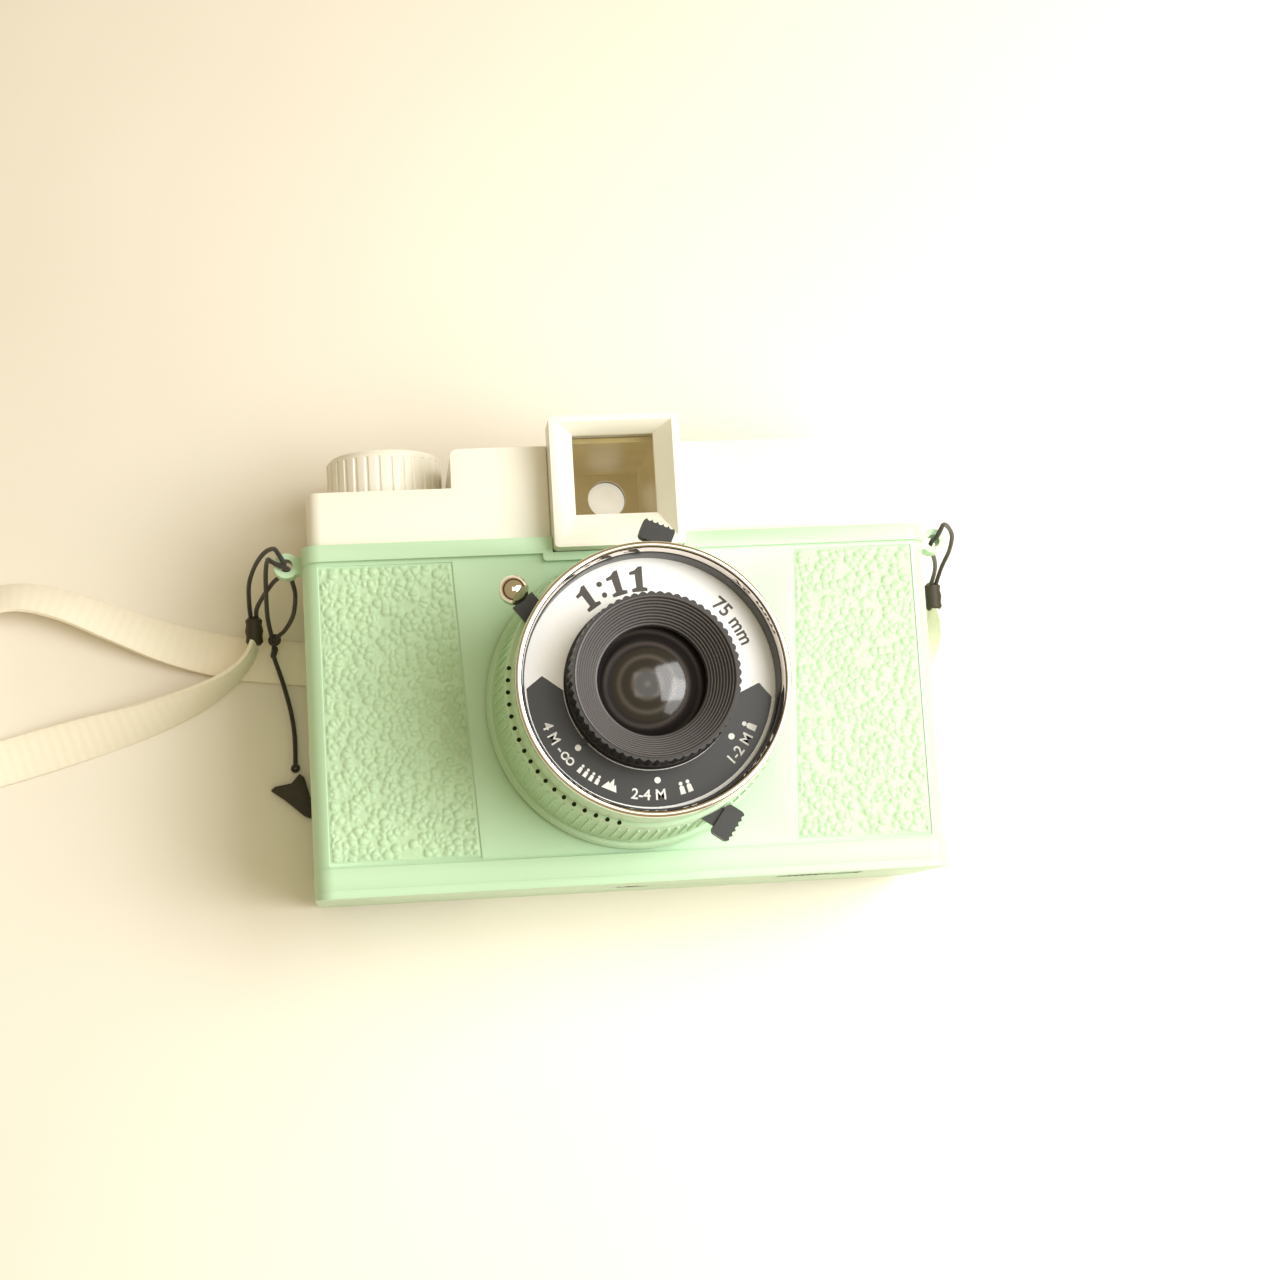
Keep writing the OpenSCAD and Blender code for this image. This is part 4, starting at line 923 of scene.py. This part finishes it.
class BOXCAM_OT_lens(bpy.types.Operator):
    """Barrel ribs, scale plate, focus ring, baffle and glass"""

    bl_idname = "boxcam.lens"
    bl_label = "Lens"

    def execute(self, context):
        self.barrel()
        self.scale()
        self.focus_ring()
        self.baffle()
        self.inside()
        self.front_glass()
        self.bezel()
        return {"FINISHED"}

    def barrel(self):
        """Upright ribs that lean in with the barrel's taper, and a row of dark dots painted as the shade in
        small holes.
        """
        count = sizes().barrel_ribs
        section = ((RIB_R, -0.34), (RIB_R + RIB_DEPTH, -0.2), (RIB_R + RIB_DEPTH, 0.2), (RIB_R, 0.34))
        rib = prism(about_axis(section), RIB_FOOT, RIB_TOP, "barrel_rib")
        for v in rib.data.vertices:
            if v.co.z > (RIB_FOOT + RIB_TOP) / 2 * MM:
                v.co.x -= RIB_LEAN * MM
        ribs = spun_copies(rib, count, 360 / count, "barrel_ribs")
        finish(ribs, "lens", "shell_green", "green_plastic", 30)
        # Painted shade: dark discs stand in for small holes in the barrel.
        dot = disc(about_axis([(27.15, 0)])[0], 0.46, 69.2, 69.78, "dot", 10)
        dots = spun_copies(dot, 18, 5, "barrel_dots", first=170)
        finish(dots, "lens", "hole_shade_dark", "black_plastic", 30)

    def scale(self):
        """Dark band with the distance marks, and the figures on the bright plate."""
        z = PLATE_TOP + 0.07
        outline = [(-20.8, 2.35), *arc(BAND_OUT, 180, 353, 3), (21.3, -0.85), *arc(BAND_IN, 350, 181, -3)]
        band = prism(about_axis(outline), PLATE_TOP + 0.005, z, "zone_band")
        finish(band, "lens", "zone_black", "black_plastic", 30)
        marks = [bent_text("4 M -", 2.9, 21.6, 206.5, z, "zone_far", True),
                 endless_mark(0.82, 21.7, 219.5, z, "zone_endless"),
                 bent_text("2-4 M", 2.9, 21.7, 266, z, "zone_mid", True),
                 bent_text("1-2 M", 2.9, 21.6, 321, z, "zone_near", True)]
        for angle in (FOCUS_MARK, 271, 324):
            centre = on_circle(18.8, math.radians(angle), LENS_AXIS)
            marks.append(disc(centre, 0.62, z, z + PRINT_RISE, "zone_dot"))
        people = (("one", 21.0, 1.5, (334.034,)), ("two", 21.2, 1.25, (283.5, 287.5)),
                  ("group", 21.4, 0.95, (228, 231.5, 235, 238.5)))
        for name, radius, size, angles in people:
            marks += [person(radius, angle, size, z, name) for angle in angles]
        hills = [(-1.5, -0.9), (1.5, -0.9), (1.0, 0.5), (0.75, 0.1), (0.25, 1.5), (-0.25, 0.3), (-0.6, 0.7)]
        marks.append(bent(flat_mark([hills], "hills"), 21.3, 245.5, z, True))
        finish(join(marks, "zone_marks"), "lens", "print_white", "silver_plate", 30)
        figures = [ratio_mark(4.9, 20.5, 107, PLATE_TOP + 0.02, "stop_figures"),
                   bent_text("75 mm", 3.8, 20.7, 34, PLATE_TOP + 0.02, "focal_figures", weight=0.07)]
        finish(join(figures, "lens_figures"), "lens", "print_grey", "black_plastic", 30)

    def focus_ring(self):
        """Grip with fine teeth, its foot, and the pointed mark that reads the distance scale."""
        count = sizes().focus_teeth * 4
        wave = [16.32, 16.18, 15.86, 16.18]
        outer = [on_circle(wave[i % 4], math.tau * i / count, LENS_AXIS) for i in range(count)]
        grip = collar(outer, circle(15.5, count, LENS_AXIS), PLATE_TOP + 2.2, FOCUS_TOP - 0.25, "focus_grip")
        foot = turned([(14.7, 74.6), (16.8, 74.6), (16.8, 75.2), (16.4, 75.7), (16.4, 76.3), (14.7, 76.3)],
                      "focus_foot")
        c, s = on_circle(1, math.radians(FOCUS_MARK))
        pointer = [(r * c - q * s, r * s + q * c) for r, q in ((16.0, -1.1), (18.1, 0), (16.0, 1.1))]
        tip = prism(about_axis(pointer), 74.6, 75.15, "focus_tip")
        finish(join([grip, foot, tip], "focus_grip"), "ring", "lens_black", "black_plastic", 30,
               ("focus_ring",))

    def baffle(self):
        """Ridged cone that narrows down to the front glass."""
        profile = [(11.35, 73.0), (13.0, 73.0), (13.0, 79.6), (14.55, 82.2), (14.55, 83.2), (15.4, 84.0),
                   (15.46, FOCUS_TOP)]
        high = FOCUS_TOP - 0.05
        drop = (high - BAFFLE_LOW) / BAFFLE_RIDGES
        for i in range(BAFFLE_RIDGES):
            r, z = BAFFLE_OUT - BAFFLE_PITCH * i, high - drop * i
            profile += [(r - BAFFLE_PITCH * inward, z - drop * down)
                        for inward, down in ((0, 0), (0.42, 0.06), (0.6, 0.3), (0.66, 1.04))]
        profile += [(10.7, BAFFLE_LOW - 0.1), (10.6, 77.2), (11.35, 76.7)]
        finish(turned(profile, "baffle_cone", steps=96), "cell", "baffle_grey_groove_shade", "black_plastic", 25,
               ("lens_cell",))

    def inside(self):
        """Rings behind the glass: a grey step and a dark well."""
        step = turned([(5.2, 72.5), (5.0, 71.1), (12.6, 71.1), (12.6, 72.6), (11.6, 72.6), (11.4, 72.2),
                       (9.6, 72.2), (9.5, 72.5), (9.0, 72.5), (8.9, 72.0), (6.6, 72.0), (6.5, 72.4)],
                      "inner_baffle", steps=72)
        finish(step, "lens", "chamber_grey", "black_plastic", 25)
        well = turned([(0.02, 71.15), (5.1, 71.15), (5.1, 71.3), (4.2, 71.3), (4.1, 71.5), (3.6, 71.5),
                       (3.5, 71.3), (2.3, 71.3), (2.2, 71.45), (1.5, 71.45), (1.4, 71.3), (0.5, 71.3),
                       (0.4, 71.22), (0.02, 71.22)], "inner_rings", steps=48)
        finish(well, "lens", "chamber_dark", "black_plastic", 25)

    def front_glass(self):
        """Domed front glass with a flat back."""
        turns = [EDGE_TURN * t / DOME_STEPS for t in range(DOME_STEPS + 1)]
        dome = [(max(DOME_R * math.sin(t), 0.01), GLASS_TOP - DOME_R * (1 - math.cos(t))) for t in turns]
        front = turned([*dome, (GLASS_R, GLASS_BACK), (0.01, GLASS_BACK)], "front_glass", steps=96)
        finish(front, "cell", "lens_glass", "clear_plastic", 40, ("lens_element",))

    def bezel(self):
        """Chrome rim with a rounded lip over a black sleeve, whose near-black colour is painted shade for
        the gap inside the rim.
        """
        lip_middle = (BEZEL_R - BEZEL_LIP, BEZEL_TOP - BEZEL_LIP)
        lip = [on_circle(BEZEL_LIP, turn, lip_middle) for turn in (0, 0.4, 0.8, 1.2, 1.57)]
        inner = [(25.5 - 0.5 * t, BEZEL_TOP - 0.02 - 1.5 * t * t) for t in (0, 0.25, 0.5, 0.75, 1.0)]
        profile = [(BEZEL_R, 79.1), *lip, *inner, (24.85, 79.4), (24.85, 79.1)]
        rim = turned(profile, "bezel_rim", steps=144)
        finish(rim, "lens", "bright_chrome", "silver_plate", 40, ("bezel_ring",))
        # Painted shade: the near-black sleeve fills the shadow gap between rim and plate.
        sleeve = turned([(24.55, PLATE_TOP + 0.1), (24.9, PLATE_TOP + 0.1), (24.9, SLEEVE_TOP),
                         (24.7, SLEEVE_TOP), (24.6, SLEEVE_TOP - 0.48)], "bezel_sleeve", steps=144)
        finish(sleeve, "lens", "sleeve_gap_shade", "black_plastic", 40)


# ------------------------------------------------------------------ finishes of the frame

NODE_FINISH = {
    "inner_black": ["inner_frame", "supply_pin", "film_mask", "spacer_plate", "shutter_blade", "light_seal",
                    "bayonet_plate", "shutter_plate", "takeup_spool"],
    "soft_black": ["window_shutter", "back_lock", "eyepiece_ring", "shutter_arm", "mode_selector",
                   "aperture_plate"],
    "spring_steel": ["winding_key", "ratchet_pawl", "roll_springs", "mount_screws", "frame_screws",
                     "lever_spring", "tripod_bush", "flash_sockets"],
    "bright_chrome": ["lever_ball", "bezel_ring"],
    "plate_silver": ["scale_plate"],
    "window_red": ["red_window"],
    "clear_glass": ["finder_glass"],
    "eyepiece_light": ["eyepiece_lens"],
    "lens_glass": ["lens_element"],
    "tunnel_amber_glow": ["finder_tunnel"],
    "shell_green": ["lens_barrel", "front_shell", "back_cover"],
    "cover_cream": ["top_cover", "finder_frame", "winding_knob"],
    "lens_black": ["lens_cell", "focus_ring"],
    "ribbon_weave": ["strap_lead", "strap_coil", "strap_return"],
    "cord_black": ["loop_left", "loop_right", "leash_loop", "leash_cord", "leash_knot", "leash_bead"],
    "tab_leather": ["ferrule_left", "ferrule_right", "cap_tab"],
}


class BOXCAM_OT_finishes(bpy.types.Operator):
    """Gives every node of the frame its material"""

    bl_idname = "boxcam.finishes"
    bl_label = "Finishes"

    def execute(self, context):
        for name, nodes in NODE_FINISH.items():
            for node in nodes:
                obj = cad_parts[node]
                for slot in obj.material_slots:
                    slot.material = Finish.made[name]
        return {"FINISHED"}


# ------------------------------------------------------------------ stage


def area_light(name, place, aim, size, power, colour):
    """A square light at place that points at aim."""
    light = bpy.data.lights.new(name, "AREA")
    light.shape, light.size, light.energy, light.color = "SQUARE", size, power, colour
    obj = bpy.data.objects.new(name, light)
    bpy.context.collection.objects.link(obj)
    obj.location = place
    obj.rotation_euler = (Vector(aim) - Vector(place)).to_track_quat("-Z", "Y").to_euler()


class BOXCAM_OT_stage(bpy.types.Operator):
    """Pale floor, soft studio light and the camera"""

    bl_idname = "boxcam.stage"
    bl_label = "Stage"

    def execute(self, context):
        scene = context.scene
        view = bpy.data.cameras.new("view")
        camera = bpy.data.objects.new("view", view)
        context.collection.objects.link(camera)
        camera.location, camera.rotation_euler = VIEW_PLACE, VIEW_TURN
        view.sensor_width, view.lens = 36, VIEW_LENS
        view.clip_start, view.clip_end = 0.01, 20
        view.dof.use_dof = False
        scene.camera = camera
        begin()
        bpy.ops.mesh.primitive_plane_add(size=6, location=(0, 0, -0.0001))
        floor = context.object
        floor.name = "floor"
        floor.data.materials.append(Finish.made["floor_paper"])
        for light in LIGHTS:
            area_light(*light)
        scene.view_settings.view_transform = "Standard"
        scene.world = bpy.data.worlds.new("room")
        self.room(scene.world)
        return {"FINISHED"}

    def room(self, world):
        """Warm light from above that is dim near the horizon."""
        world.use_nodes = True
        tree = world.node_tree
        up = tree.nodes.new("ShaderNodeSeparateXYZ")
        ramp = tree.nodes.new("ShaderNodeValToRGB")
        tree.links.new(tree.nodes.new("ShaderNodeTexCoord").outputs["Generated"], up.inputs[0])
        tree.links.new(up.outputs[2], ramp.inputs[0])
        tree.links.new(ramp.outputs[0], tree.nodes["Background"].inputs["Color"])
        while len(ramp.color_ramp.elements) < len(ROOM_STOPS):
            ramp.color_ramp.elements.new(0.5)
        for element, (at, colour) in zip(ramp.color_ramp.elements, ROOM_STOPS):
            element.position = at
            element.color = (*colour, 1)
        tree.nodes["Background"].inputs["Strength"].default_value = ROOM_STRENGTH


class BOXCAM_PT_panel(bpy.types.Panel):
    """Sizes, colours and steps of the box camera"""

    bl_label = "Box Camera"
    bl_idname = "BOXCAM_PT_panel"
    bl_space_type = "VIEW_3D"
    bl_region_type = "UI"
    bl_category = "Box Camera"

    def draw(self, context):
        for group in (colours(), sizes()):
            for name in group.bl_rna.properties.keys():
                if name not in ("rna_type", "name"):
                    self.layout.prop(group, name)
        for step in STEPS:
            self.layout.operator(step.bl_idname)


STEPS = (BOXCAM_OT_stage, BOXCAM_OT_strap, BOXCAM_OT_finishes, BOXCAM_OT_shell, BOXCAM_OT_cover,
         BOXCAM_OT_lens)
CLASSES = (BoxCameraColours, BoxCameraSizes, *STEPS, BOXCAM_PT_panel)


def register():
    for cls in CLASSES:
        bpy.utils.register_class(cls)
    bpy.types.Scene.box_camera_colours = bpy.props.PointerProperty(type=BoxCameraColours)
    bpy.types.Scene.box_camera_sizes = bpy.props.PointerProperty(type=BoxCameraSizes)


def unregister():
    del bpy.types.Scene.box_camera_sizes
    del bpy.types.Scene.box_camera_colours
    for cls in reversed(CLASSES):
        bpy.utils.unregister_class(cls)


def main():
    register()
    make_finishes()
    bpy.ops.boxcam.stage()
    bpy.ops.boxcam.strap()
    bpy.ops.boxcam.finishes()
    bpy.ops.boxcam.shell()
    bpy.ops.boxcam.cover()
    bpy.ops.boxcam.lens()
    begin()


if __name__ == "__main__":
    main()
